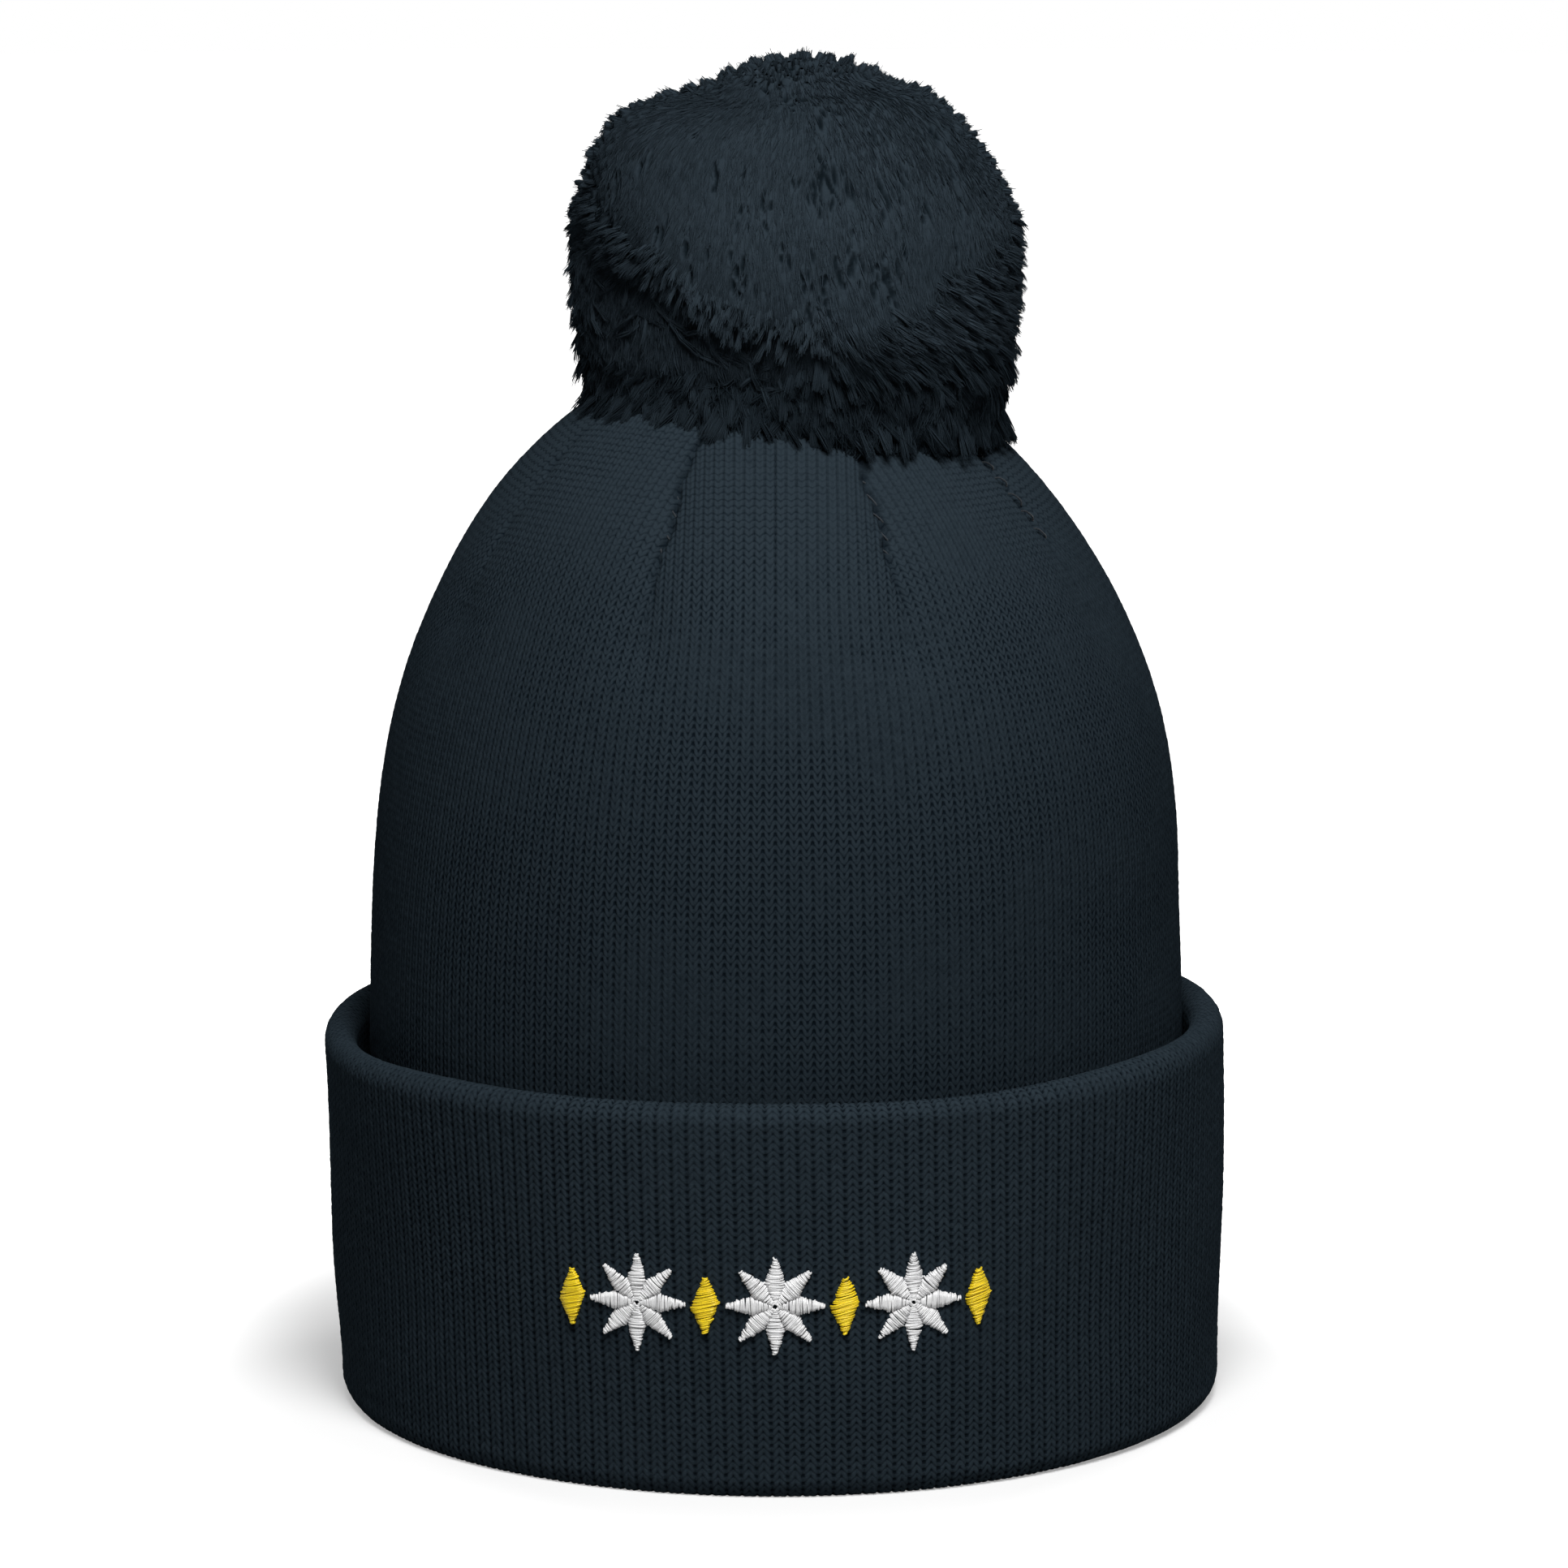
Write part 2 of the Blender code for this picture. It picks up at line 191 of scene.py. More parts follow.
class Bench:
    """A node tree and the one way nodes are added to it."""

    def __init__(self, tree: bpy.types.NodeTree) -> None:
        """Starts from an emptied tree."""
        self.tree = tree
        self.tree.nodes.clear()

    def node(
        self,
        kind: str,
        settings: dict[str, Any] | None = None,
        sockets: dict[str | int, Any] | None = None,
        out: str | int = 0,
    ) -> Signal:
        """Adds a node.

        Args:
            kind: The node's type.
            settings: Properties of the node, set first.
            sockets: Values or links of its inputs, by name or number.
            out: Which output to hand back.

        Returns:
            The chosen output.
        """
        made = self.tree.nodes.new(kind)
        for name, value in (settings or {}).items():
            setattr(made, name, value)
        for key, value in (sockets or {}).items():
            if isinstance(value, Signal):
                self.tree.links.new(value.socket, made.inputs[key])
            else:
                made.inputs[key].default_value = value
        return Signal(self, made.outputs[out] if made.outputs else None)

    def mark(self, name: str) -> Signal:
        """A number stored on the mesh's points."""
        return self.node("ShaderNodeAttribute", {"attribute_name": name}, out="Fac")

    def place(self) -> Signal:
        """Where the surface is, in the piece's own metres."""
        return self.node("ShaderNodeTexCoord", out="Object")

    def noise(self, scale: float, detail: float) -> Signal:
        """Noise in the piece's own metres, 0 to 1."""
        sockets = {"Vector": self.place(), "Scale": scale, "Detail": detail}
        return self.node("ShaderNodeTexNoise", None, sockets)

    def mix(self, share: Signal, first: Colour, second: Colour) -> Signal:
        """A colour between two, by a clamped share."""
        sockets = {0: share, 6: (*first, 1.0), 7: (*second, 1.0)}
        return self.node("ShaderNodeMix", {"data_type": "RGBA"}, sockets, out=2)

    def bump(self, height: Signal, strength: float, distance: float) -> Signal:
        """A normal shaken by a height."""
        sockets = {"Height": height, "Strength": strength, "Distance": distance}
        return self.node("ShaderNodeBump", None, sockets)

    def surface(self, **sockets: Any) -> None:
        """Ends the tree in a Principled surface.

        Args:
            sockets: Values or links of its inputs; underscores in their names stand for spaces.
        """
        named = {key.replace("_", " "): value for key, value in sockets.items()}
        shader = self.node("ShaderNodeBsdfPrincipled", None, named)
        self.node("ShaderNodeOutputMaterial", None, {"Surface": shader})

    def backdrop(self) -> Signal:
        """1 where the eye, a gloss or a glass looks straight at it, 0 where it only gives light."""
        rays = ("Is Camera Ray", "Is Glossy Ray", "Is Transmission Ray")
        return sum((self.node("ShaderNodeLightPath", out=ray) for ray in rays), 0.0)


def new_bench(name: str) -> tuple[bpy.types.Material, Bench]:
    """A fresh material and the bench of its node tree.

    Args:
        name: The material's name.

    Returns:
        The material and its bench.
    """
    material = bpy.data.materials.new(name)
    material.use_nodes = True
    return material, Bench(material.node_tree)


@dataclass(frozen=True)
class Finish:
    """What a piece is dressed in: its name, the record's slot, and its lit and its deep colour, between which
    most finishes mix painted shade as well as their own tone.
    """

    name: str
    slot: str
    lit: Colour
    deep: Colour

    def material(self) -> bpy.types.Material:
        """The finish as a material.

        Returns:
            The material.
        """
        material, bench = new_bench(self.name)
        self.paint(bench)
        return material

    def paint(self, bench: Bench) -> None:
        """Sets out the finish's nodes on a bench."""
        raise NotImplementedError(self.name)


@dataclass(frozen=True)
class KnitFinish(Finish):
    """Matt knit yarn, with shade painted darker down between its stitches and into its holes, and a little
    loose fibre.
    """

    # How even the painted shade in the holes is from patch to patch.
    hole_shade_evenness: float
    fibre_grain: float = 3200.0
    fuzz_grain: float = 5200.0
    stitch_grain: float = 520.0
    patch_grain: float = 30.0
    hole_edge: Span = (0.16, 0.44)

    def paint(self, bench: Bench) -> None:
        """Sets out the finish's nodes.

        Args:
            bench: Where they stand.
        """
        aside, row = bench.mark("aside"), bench.mark("row")
        leaning = row - (aside - LEG_PLACE) * LEG_SLOPE
        # Masks between the legs and at the purl and knit holes: painted shade in the colour, a real dip in
        # the bump.
        between = abs(leaning % 1.0 - 0.5).step(0.24, 0.5)
        purl_hole = aside.step(0.30, 0.47) * abs((row - PURL_PHASE) % 1.0 - 0.5).step(*self.hole_edge)
        knit_hole = aside.step(0.15, 0.02) * abs((row - KNIT_PHASE) % 1.0 - 0.5).step(*self.hole_edge)
        fibre, fuzz = bench.noise(self.fibre_grain, 3.0), bench.noise(self.fuzz_grain, 3.0)
        stitch, patch = bench.noise(self.stitch_grain, 1.0), bench.noise(self.patch_grain, 3.0)
        # The relief mark paints shade, darker where the yarn lies low.
        share = bench.mark("relief") * 0.56 + 0.40
        share = share + (fibre - 0.5) * 0.60 + (patch - 0.5) * 0.50 + (stitch - 0.5) * 0.50
        # How strongly the painted shade in the holes shows, changing from patch to patch.
        painted_shade_stretch = self.hole_shade_evenness + patch.step(0.34, 0.66) * (1.7 - 2.0 * self.hole_shade_evenness)
        share = share - (between * 0.40 + purl_hole * 0.72 + knit_hole * 0.42) * painted_shade_stretch
        height = (fibre + fuzz) * 0.5 - between * 0.45 - purl_hole * 0.8 - knit_hole * 0.5
        bench.surface(
            Base_Color=bench.mix(share, self.deep, self.lit),
            Roughness=0.98 - fibre * 0.14,
            Normal=bench.bump(height, strength=0.36, distance=0.00030),
            Specular_IOR_Level=0.0,
        )


@dataclass(frozen=True)
class PileFinish(Finish):
    """Cut yarn, with shade painted dark at its roots down in the pile, and lighter where the ends fray."""

    fibre_grain: float = 2600.0
    patch_grain: float = 60.0

    def paint(self, bench: Bench) -> None:
        """Sets out the finish's nodes.

        Args:
            bench: Where they stand.
        """
        fibre, patch = bench.noise(self.fibre_grain, 3.0), bench.noise(self.patch_grain, 2.0)
        # The along mark carries painted shade, darker at the roots, in the partings, between the yarn ends
        # and on the skirt, and painted light in the hollow.
        share = bench.mark("along") * 0.60 + bench.mark("shade") * 0.36
        share = share + (fibre - 0.5) * 0.30 + (patch - 0.5) * 0.25
        bench.surface(
            Base_Color=bench.mix(share, self.deep, self.lit),
            Roughness=0.96 - fibre * 0.12,
            Normal=bench.bump(fibre, strength=0.40, distance=0.00022),
            Specular_IOR_Level=0.0,
        )


@dataclass(frozen=True)
class ThreadFinish(Finish):
    """Sewing or embroidery thread with the soft shine of its twist."""

    roughness: float
    twist_grain: float = 4200.0

    def paint(self, bench: Bench) -> None:
        """Sets out the finish's nodes.

        Args:
            bench: Where they stand.
        """
        twist = bench.noise(self.twist_grain, 2.0)
        # The along mark paints shade darker towards each thread's ends.
        share = bench.mark("shade") * 0.7 + bench.mark("along") * 0.35 + (twist - 0.5) * 0.4
        bench.surface(
            Base_Color=bench.mix(share, self.deep, self.lit),
            Roughness=self.roughness + (twist - 0.5) * 0.2,
            Normal=bench.bump(twist, strength=0.35, distance=0.00015),
            Sheen_Weight=0.05,
            Specular_IOR_Level=0.4,
        )


@dataclass(frozen=True)
class PlainYarnFinish(Finish):
    """Yarn or felt on the hidden solids, mottled fine and coarse."""

    fine_grain: float = 1800.0
    coarse_grain: float = 420.0

    def paint(self, bench: Bench) -> None:
        """Sets out the finish's nodes.

        Args:
            bench: Where they stand.
        """
        fine, coarse = bench.noise(self.fine_grain, 4.0), bench.noise(self.coarse_grain, 2.0)
        bench.surface(
            Base_Color=bench.mix(fine * 0.8 + coarse * 0.4 - 0.1, self.deep, self.lit),
            Roughness=0.98 - fine * 0.1,
            Normal=bench.bump(fine + coarse, strength=0.6, distance=0.0004),
        )


CROWN_KNIT = KnitFinish(
    "crown_knit_yarn", "knit_yarn", (0.0174, 0.0256, 0.0330), (0.0042, 0.0072, 0.0105), hole_shade_evenness=0.10
)
# Painted light: the same yarn as the crown's, coloured lighter to make up for the light the cuff lacks.
CUFF_KNIT_PAINTED_LIGHTER = KnitFinish(
    "cuff_knit_yarn", "cuff_yarn", (0.0219, 0.0321, 0.0412), (0.0046, 0.0076, 0.0108), hole_shade_evenness=0.45
)
LINING_KNIT = KnitFinish(
    "lining_knit_yarn", "lining_yarn", (0.0137, 0.0211, 0.0281), (0.0044, 0.0070, 0.0096), hole_shade_evenness=0.45
)
POM_PILE = PileFinish("pom_cut_yarn", "pom_yarn", (0.0250, 0.0356, 0.0456), (0.0040, 0.0067, 0.0090))
NAVY_THREAD = ThreadFinish(
    "navy_sewing_thread", "sewing_thread", (0.0082, 0.0126, 0.0170), (0.0044, 0.0067, 0.0096), roughness=0.9
)
WHITE_THREAD = ThreadFinish(
    "white_satin_thread", "white_thread", (0.92, 0.92, 0.92), (0.66, 0.66, 0.67), roughness=0.42
)
YELLOW_THREAD = ThreadFinish(
    "yellow_satin_thread", "yellow_thread", (0.96, 0.72, 0.010), (0.74, 0.52, 0.008), roughness=0.42
)
TIE_YARN = PlainYarnFinish("tie_yarn", "pom_yarn", (0.020, 0.030, 0.040), (0.007, 0.011, 0.015))
BACKING_FELT = PlainYarnFinish("backing_felt", "backing_felt", (0.050, 0.054, 0.060), (0.024, 0.026, 0.029))


class Weave:
    """Gathers points, four-sided faces, map corners and point marks, and makes one piece of them."""

    def __init__(self) -> None:
        """Starts empty."""
        self.points: list[Array] = []
        self.faces: list[Array] = []
        self.corners: list[Array] = []
        self.marks: dict[str, list[Array]] = {}
        self.count = 0

    def _add(self, points: Array, faces: Array, corners: Array, marks: Marks) -> None:
        """Takes in one batch.

        Args:
            points: Places, by threes.
            faces: Point numbers within the batch, by fours.
            corners: Map places of the faces' corners.
            marks: Numbers stored on the points.
        """
        places = points.reshape(-1, 3)
        self.points.append(places)
        self.faces.append(faces.reshape(-1, 4) + self.count)
        self.corners.append(corners.reshape(-1, 4, 2))
        for name, values in marks.items():
            self.marks.setdefault(name, []).append(values.reshape(-1))
        self.count += len(places)

    @staticmethod
    def _cells(across: Array, up: Array) -> tuple[Array, Array]:
        """Places of each map cell's four corners, going round it, from the lines between the cells."""
        wide = np.stack([across[:-1], across[1:], across[1:], across[:-1]], axis=-1)
        return wide, np.stack([up[:-1], up[:-1], up[1:], up[1:]], axis=-1)

    def grid(self, points: Array, marks: Marks, flip: bool = False, box: Box = WHOLE_MAP) -> None:
        """Adds a surface that closes round its columns.

        Args:
            points: Places by row and column.
            marks: Numbers by row and column.
            flip: Whether the faces turn to the other side.
            box: The part of the map that it takes.
        """
        rows, columns = points.shape[:2]
        here = np.arange(rows * columns).reshape(rows, columns)
        beside = np.roll(here, -1, axis=1)
        faces = np.stack([here[:-1], beside[:-1], beside[1:], here[1:]], axis=-1)
        wide, tall = self._cells(np.linspace(box[0], box[2], columns + 1), np.linspace(box[1], box[3], rows))
        corners = np.empty((rows - 1, columns, 4, 2), np.float32)
        corners[..., 0] = wide[None]
        corners[..., 1] = tall[:, None]
        if flip:
            faces = faces[..., ::-1]
            corners = corners[..., ::-1, :]
        self._add(points, faces, corners, marks)

    def tubes(self, paths: Array, radii: Array, sides: int, marks: Marks, box: Box = WHOLE_MAP) -> None:
        """Adds many round strands of like point counts, each with its own cell of the map.

        Args:
            paths: Places by strand and step.
            radii: Strand radii by strand and step.
            sides: Faces round a strand.
            marks: Numbers by strand and step.
            box: The part of the map that they take.
        """
        count, steps = paths.shape[:2]
        chord = unit(paths[:, -1] - paths[:, 0])
        first, second = square_to(unit(np.gradient(paths, axis=1)), chord[:, None])
        turn = FULL_TURN * np.arange(sides) / sides
        around = first[:, :, None] * np.cos(turn)[:, None] + second[:, :, None] * np.sin(turn)[:, None]
        points = paths[:, :, None] + radii[:, :, None, None] * around
        here = np.arange(count * steps * sides).reshape(count, steps, sides)
        beside = np.roll(here, -1, axis=2)
        faces = np.stack([here[:, :-1], beside[:, :-1], beside[:, 1:], here[:, 1:]], axis=-1)
        cells = math.ceil(math.sqrt(count))
        cell = np.array([box[2] - box[0], box[3] - box[1]]) / cells
        left = box[0] + cell[0] * (np.arange(count) % cells)
        low = box[1] + cell[1] * (np.arange(count) // cells)
        used = 1.0 - 2.0 * MAP_MARGIN
        across = cell[0] * (MAP_MARGIN + used * np.arange(sides + 1) / sides)
        wide, tall = self._cells(across, cell[1] * (MAP_MARGIN + used * np.arange(steps) / (steps - 1)))
        corners = np.empty((count, steps - 1, sides, 4, 2), np.float32)
        corners[..., 0] = left[:, None, None, None] + wide[None, None]
        corners[..., 1] = low[:, None, None, None] + tall[None, :, None]
        spread = {name: np.repeat(values[:, :, None], sides, axis=2) for name, values in marks.items()}
        self._add(points, faces, corners, spread)

    def piece(self, name: str, finish: Finish) -> bpy.types.Object:
        """Makes the piece.

        Args:
            name: Its name.
            finish: What it is dressed in.

        Returns:
            The new object, in the scene.
        """
        points = np.concatenate(self.points).astype(np.float32)
        faces = np.concatenate(self.faces).astype(np.int32)
        mesh = bpy.data.meshes.new(name)
        mesh.vertices.add(len(points))
        mesh.vertices.foreach_set("co", points.ravel())
        mesh.loops.add(faces.size)
        mesh.loops.foreach_set("vertex_index", faces.ravel())
        mesh.polygons.add(len(faces))
        mesh.polygons.foreach_set("loop_start", np.arange(0, faces.size, 4, dtype=np.int32))
        layer = mesh.uv_layers.new(name=BAKE_MAP)
        layer.uv.foreach_set("vector", np.concatenate(self.corners).astype(np.float32).ravel())
        for mark, values in self.marks.items():
            stored = mesh.attributes.new(mark, "FLOAT", "POINT")
            stored.data.foreach_set("value", np.concatenate(values).astype(np.float32))
        mesh.update(calc_edges=True)
        mesh.shade_smooth()
        mesh.materials.append(finish.material())
        made = bpy.data.objects.new(name, mesh)
        bpy.context.scene.collection.objects.link(made)
        LOG.info("%s: %d points, %d faces", name, len(points), len(faces))
        return made


@dataclass(frozen=True)
class Stitch:
    """One rib stitch: two legs of yarn that lean apart upward, beside a valley of purl bars.

    Widths are shares of a rib and lengths shares of a course, heights are metres.
    """

    leg_width: float = 0.245
    leg_rise: float = 0.00027
    notch: float = 0.42
    bar: float = 0.55
    valley: float = 0.00026
    valley_edge: float = 0.30
    proud: float = 0.00020
    uneven_course: float = 0.05
    uneven_rise: float = 0.10
    most_uneven: float = 2.0

    def relief(self, across: Array, along: Array, wale: Array, rng: Rng) -> tuple[Array, Marks]:
        """Height of the knit above the cloth's plain surface.

        Args:
            across: Place across the ribs, a whole number at the middle of each.
            along: Place along the ribs, in courses.
            wale: Number of the rib, for its own unevenness.
            rng: Source of the unevenness.

        Returns:
            Heights in metres, and the marks that the finish reads.
        """
        row = np.floor(along).astype(int)
        table = rng.normal(0.0, 1.0, (int(wale.max()) + 1, int(row.max()) + 2, 3))
        uneven = np.clip(table, -self.most_uneven, self.most_uneven)[wale, row]
        aside = np.abs(across - np.floor(across + 0.5))
        course = along + self.uneven_course * uneven[..., 0]
        leaning = (course - (aside - LEG_PLACE) * LEG_SLOPE) % 1.0
        round_leg = np.sqrt(np.clip(1.0 - ((aside - LEG_PLACE) / self.leg_width) ** 2, 0.0, 1.0))
        pulled_in = 1.0 - self.notch * (2.0 * np.abs(leaning - 0.5)) ** 3
        height = self.leg_rise * (1.0 + self.uneven_rise * uneven[..., 1]) * round_leg * pulled_in
        hole = np.abs((course - PURL_PHASE) % 1.0 - 0.5) * 2.0
        low = smooth(self.valley_edge, 0.5, aside) * (1.0 - self.bar * (1.0 - hole**2))
        height = height - self.valley * low
        # The relief mark, for painted shade: 0 down in the valleys to 1 on the legs' tops.
        share = np.clip((height + self.valley) / (self.leg_rise + self.valley), 0.0, 1.0)
        return height + self.proud - self.leg_rise, {"relief": share, "aside": aside, "row": course}


@dataclass
class Profile:
    """A side line of the hat, which is read by the length along it."""

    reach: Array
    height: Array
    nudge: float = 0.0006
    length: Array = field(init=False)

    def __post_init__(self) -> None:
        """Measures the line."""
        steps = np.hypot(np.diff(self.reach), np.diff(self.height))
        self.length = np.concatenate([[0.0], np.cumsum(steps)])

    def at(self, stations: Array) -> tuple[Array, Array, Array, Array]:
        """Reads the line.

        Args:
            stations: Lengths along it.

        Returns:
            Radius, height, and the line's direction in radius and height, as columns.
        """
        near = np.stack([stations, stations - self.nudge, stations + self.nudge])
        near = np.clip(near, 0.0, self.length[-1])[..., None]
        reach, height = (np.interp(near, self.length, line) for line in (self.reach, self.height))
        run, rise = reach[2] - reach[1], height[2] - height[1]
        whole = np.hypot(run, rise)
        return reach[0], height[0], run / whole, rise / whole

    def stations(self, shown: float, step: float) -> Array:
        """Lengths at which rows of points lie: a step apart from where they show, two steps before."""
        low = np.arange(0.0, shown, 2.0 * step)
        return np.concatenate([low, np.arange(low[-1] + step, self.length[-1], step)])


@dataclass
class Crown:
    """The crown: its closing side line, eight gores, sewn darts and both plies."""

    radius: float = 0.0891
    top: float = 0.236
    straight: float = 0.040
    fullness: float = 4.0
    taper: float = 0.745
    seat: float = 0.0063
    tie_hole: float = 0.0042
    lining_depth: float = 0.0053
    gores: int = 8
    gore_ribs: int = 26
    course: float = 0.00170
    rib_columns: int = 8
    course_rows: int = 4
    hidden_below: float = 0.062
    dart_low: float = 0.072
    dart_high: float = 0.010
    dart_depth: float = 0.0018
    dart_width: float = math.radians(4.5)
    dart_ease: float = 26.0
    groove_depth: float = 0.0011
    groove_width: float = 0.0009
    groove_foot: Span = (0.075, 0.060)
    groove_tip: Span = (0.004, 0.010)
    groove_wander: tuple[Place, ...] = ((0.0005, 0.0031, 0.0), (0.0003, 0.0013, 1.0))
    shown: Span = (0.036, 0.062)
    pucker_pitch: float = 0.0042
    pucker_radius: float = 0.0735
    pucker_width: float = 0.0075
    pucker_height: float = 0.0032
    pucker_depth: float = 0.0013
    tightness: float = 0.55
    tight: Span = (0.078, 0.054)
    waves: tuple[Place, ...] = ((0.00030, 3.0, 0.031), (0.00022, 5.0, -0.019))
    set_in: float = 0.0004
    right_bulge: float = 0.0017
    right_bulge_at: float = 0.142
    right_bulge_width: float = 0.028
    right_waist: float = 0.0006
    waist: Span = (0.122, 0.098)
    left_shoulder: float = 0.0007
    right_shoulder: float = -0.0013
    shoulder: Span = (0.165, 0.205)
    shoulder_top: Span = (0.030, 0.050)
    puff: float = 0.0009
    puffed: Span = (0.078, 0.055)
    puff_top: Span = (0.008, 0.02)
    loose_from: Span = (0.02, 0.08)
    whip_pitch: float = 0.0030
    whip_reach: float = 0.0012
    whip_thread: float = 0.00018
    ring_radius: float = 0.0072
    ring_thread: float = 0.0005
    seed: int = 11

    def side_radius(self, height: Array) -> Array:
        """Outer radius at a height."""
        closing = np.clip((height - self.straight) / (self.top - self.straight), 0.0, 1.0)
        return self.radius * (1.0 - closing**self.fullness) ** self.taper

    def side_height(self, radius: Array) -> Array:
        """Height at which the crown has closed in to a radius."""
        closing = 1.0 - np.clip(radius / self.radius, 0.0, 1.0) ** (1.0 / self.taper)
        return self.straight + (self.top - self.straight) * closing ** (1.0 / self.fullness)

    def profile(self) -> Profile:
        """The outer side line, from its seat up to the tie hole.

        Returns:
            The line.
        """
        end = float(self.side_height(np.array(self.tie_hole)))
        heights = self.seat + (end - self.seat) * np.sin(np.linspace(0.0, QUARTER_TURN, 8000))
        return Profile(self.side_radius(heights), heights)

    def ply(self, facing: Facing, stitch: Stitch, columns: int, rows: int) -> tuple[Array, Marks]:
        """One face of the crown.

        Args:
            facing: Out for the shell, in for the lining.
            stitch: Its stitch.
            columns: Columns of points to a rib.
            rows: Rows of points to a course.

        Returns:
            Places and marks, by row and column.
        """
        rng = np.random.default_rng(self.seed + facing.value)
        line = self.profile()
        shown = float(np.interp(self.hidden_below, line.height, line.length))
        lengths = line.stations(shown, self.course / rows)
        reach, height, run, rise = line.at(lengths)
        length = lengths[:, None]
        ribs, sector = self.gores * self.gore_ribs, FULL_TURN / self.gores
        column, gore_columns = np.arange(ribs * columns), self.gore_ribs * columns
        azimuth = (FRONT + math.pi / self.gores + FULL_TURN * column / len(column))[None, :]
        local = ((column % gore_columns / gore_columns - 0.5) * sector)[None, :]
        ease = 1.0 - np.log1p(np.exp((1.0 - reach / self.dart_low) * self.dart_ease)) / self.dart_ease
        across = local / FULL_TURN * ribs * ease + 0.5
        first = self.gore_ribs // 2 - 1 + (column // gore_columns)[None, :] * self.gore_ribs
        wale = np.clip(np.floor(across + 0.5).astype(int) + first, 0, ribs - 1)
        relief, marks = stitch.relief(across, length / self.course + 0.0 * local, wale, rng)
        groove, sunk = self.darts(reach, length, local, sector)
        swell = self.swell(length, azimuth, local / sector, reach)
        shift = facing.value * relief * (1.0 - 0.35 * groove) + swell - sunk
        if facing is Facing.IN:
            shift = shift - self.lining_depth
        # Painted shade: less of it in the holes where the stitches draw tight near the top, more down the
        # dart grooves.
        tight = self.tightness * smooth(*self.tight, reach)
        marks["aside"] = marks["aside"] + (LEG_PLACE - marks["aside"]) * tight
        marks["relief"] = (marks["relief"] + 0.35 * tight) * (1.0 - 0.9 * groove) - 0.25 * groove
        return wrapped(reach + rise * shift, height - run * shift, azimuth), marks

    def darts(self, reach: Array, length: Array, local: Array, sector: float) -> tuple[Array, Array]:
        """The sewn darts, and the soft pucker below the end of each.

        Args:
            reach: Crown radius by row.
            length: Length along the side by row.
            local: Azimuth from the gore's middle by column.
            sector: Azimuth of a whole gore.

        Returns:
            How far into a seam each place is, 0 to 1, and how deep it is sunk.
        """
        share = np.clip((reach - self.dart_high) / (self.dart_low - self.dart_high), 0.0, 1.0)
        fade = np.sin(math.pi * share) ** 0.4
        aside = 0.5 * sector - np.abs(local)
        shown = smooth(*self.shown, reach)
        broad = self.dart_depth * fade * shown * hump(aside, self.dart_width)
        wander = sum(size * np.sin(length / pitch + start) for size, pitch, start in self.groove_wander)
        drawn = 0.78 + 0.22 * np.sin(FULL_TURN * length / self.pucker_pitch)
        groove = hump(aside * reach * np.sign(local) + wander, self.groove_width) * drawn
        groove = groove * smooth(*self.groove_foot, reach) * smooth(*self.groove_tip, reach)
        ending = hump(aside * reach, self.pucker_width) * hump(reach - self.pucker_radius, self.pucker_height)
        return groove, broad + self.groove_depth * groove * (0.4 + 0.6 * shown) + self.pucker_depth * ending

    def swell(self, length: Array, azimuth: Array, local: Array, reach: Array) -> Array:
        """Slow unevenness of the cloth, and gores that puff out between the darts.

        Args:
            length: Length along the side by row.
            azimuth: Azimuth by column.
            local: Place across the gore, half either side of its middle, by column.
            reach: Crown radius by row.

        Returns:
            How far out the cloth stands.
        """
        right, left = (np.clip(side * np.cos(azimuth), 0.0, 1.0) for side in (1.0, -1.0))
        slow = sum(size * np.sin(turns * azimuth + length / pitch) for size, turns, pitch in self.waves)
        slow = slow + self.right_bulge * right * hump(length - self.right_bulge_at, self.right_bulge_width)
        slow = slow - self.set_in - self.right_waist * right * smooth(*self.waist, length)
        shoulder = self.left_shoulder * left + self.right_shoulder * right**1.5
        slow = slow + shoulder * smooth(*self.shoulder, length) * smooth(*self.shoulder_top, reach)
        puff = self.puff * np.cos(math.pi * local) * smooth(*self.puffed, reach)
        return slow * smooth(*self.loose_from, length) + puff * smooth(*self.puff_top, reach)

    def build(self) -> None:
        """Makes the shell, the lining and the sewing."""
        places, marks = self.ply(Facing.OUT, Stitch(), self.rib_columns, self.course_rows)
        weave = Weave()
        weave.grid(places, marks)
        shell = weave.piece("crown_knit", CROWN_KNIT)
        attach(shell, Body.CROWN.value)
        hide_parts("crown_shell")

        inner = Stitch(leg_rise=0.00045, valley=0.00040, proud=0.00010)
        places, marks = self.ply(Facing.IN, inner, self.rib_columns // 2, self.course_rows // 2)
        weave = Weave()
        weave.grid(places, marks, flip=True)
        lining = weave.piece("crown_lining_knit", LINING_KNIT)
        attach(lining, Body.CROWN.value)
        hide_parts("crown_lining")
        self.sew()

    def on_side(self, radius: Array, azimuth: Array, lift: Array) -> Array:
        """Points on the crown's closing top, lifted off it.

        Args:
            radius: Crown radius at each.
            azimuth: Azimuth of each.
            lift: Height off the surface.

        Returns:
            Places.
        """
        height = self.side_height(radius)
        nudge = 0.0004
        run = self.side_radius(height + nudge) - self.side_radius(height - nudge)
        rise = np.full_like(run, 2.0 * nudge)
        whole = np.hypot(run, rise)
        return wrapped(radius + lift * rise / whole, height - lift * run / whole, azimuth)

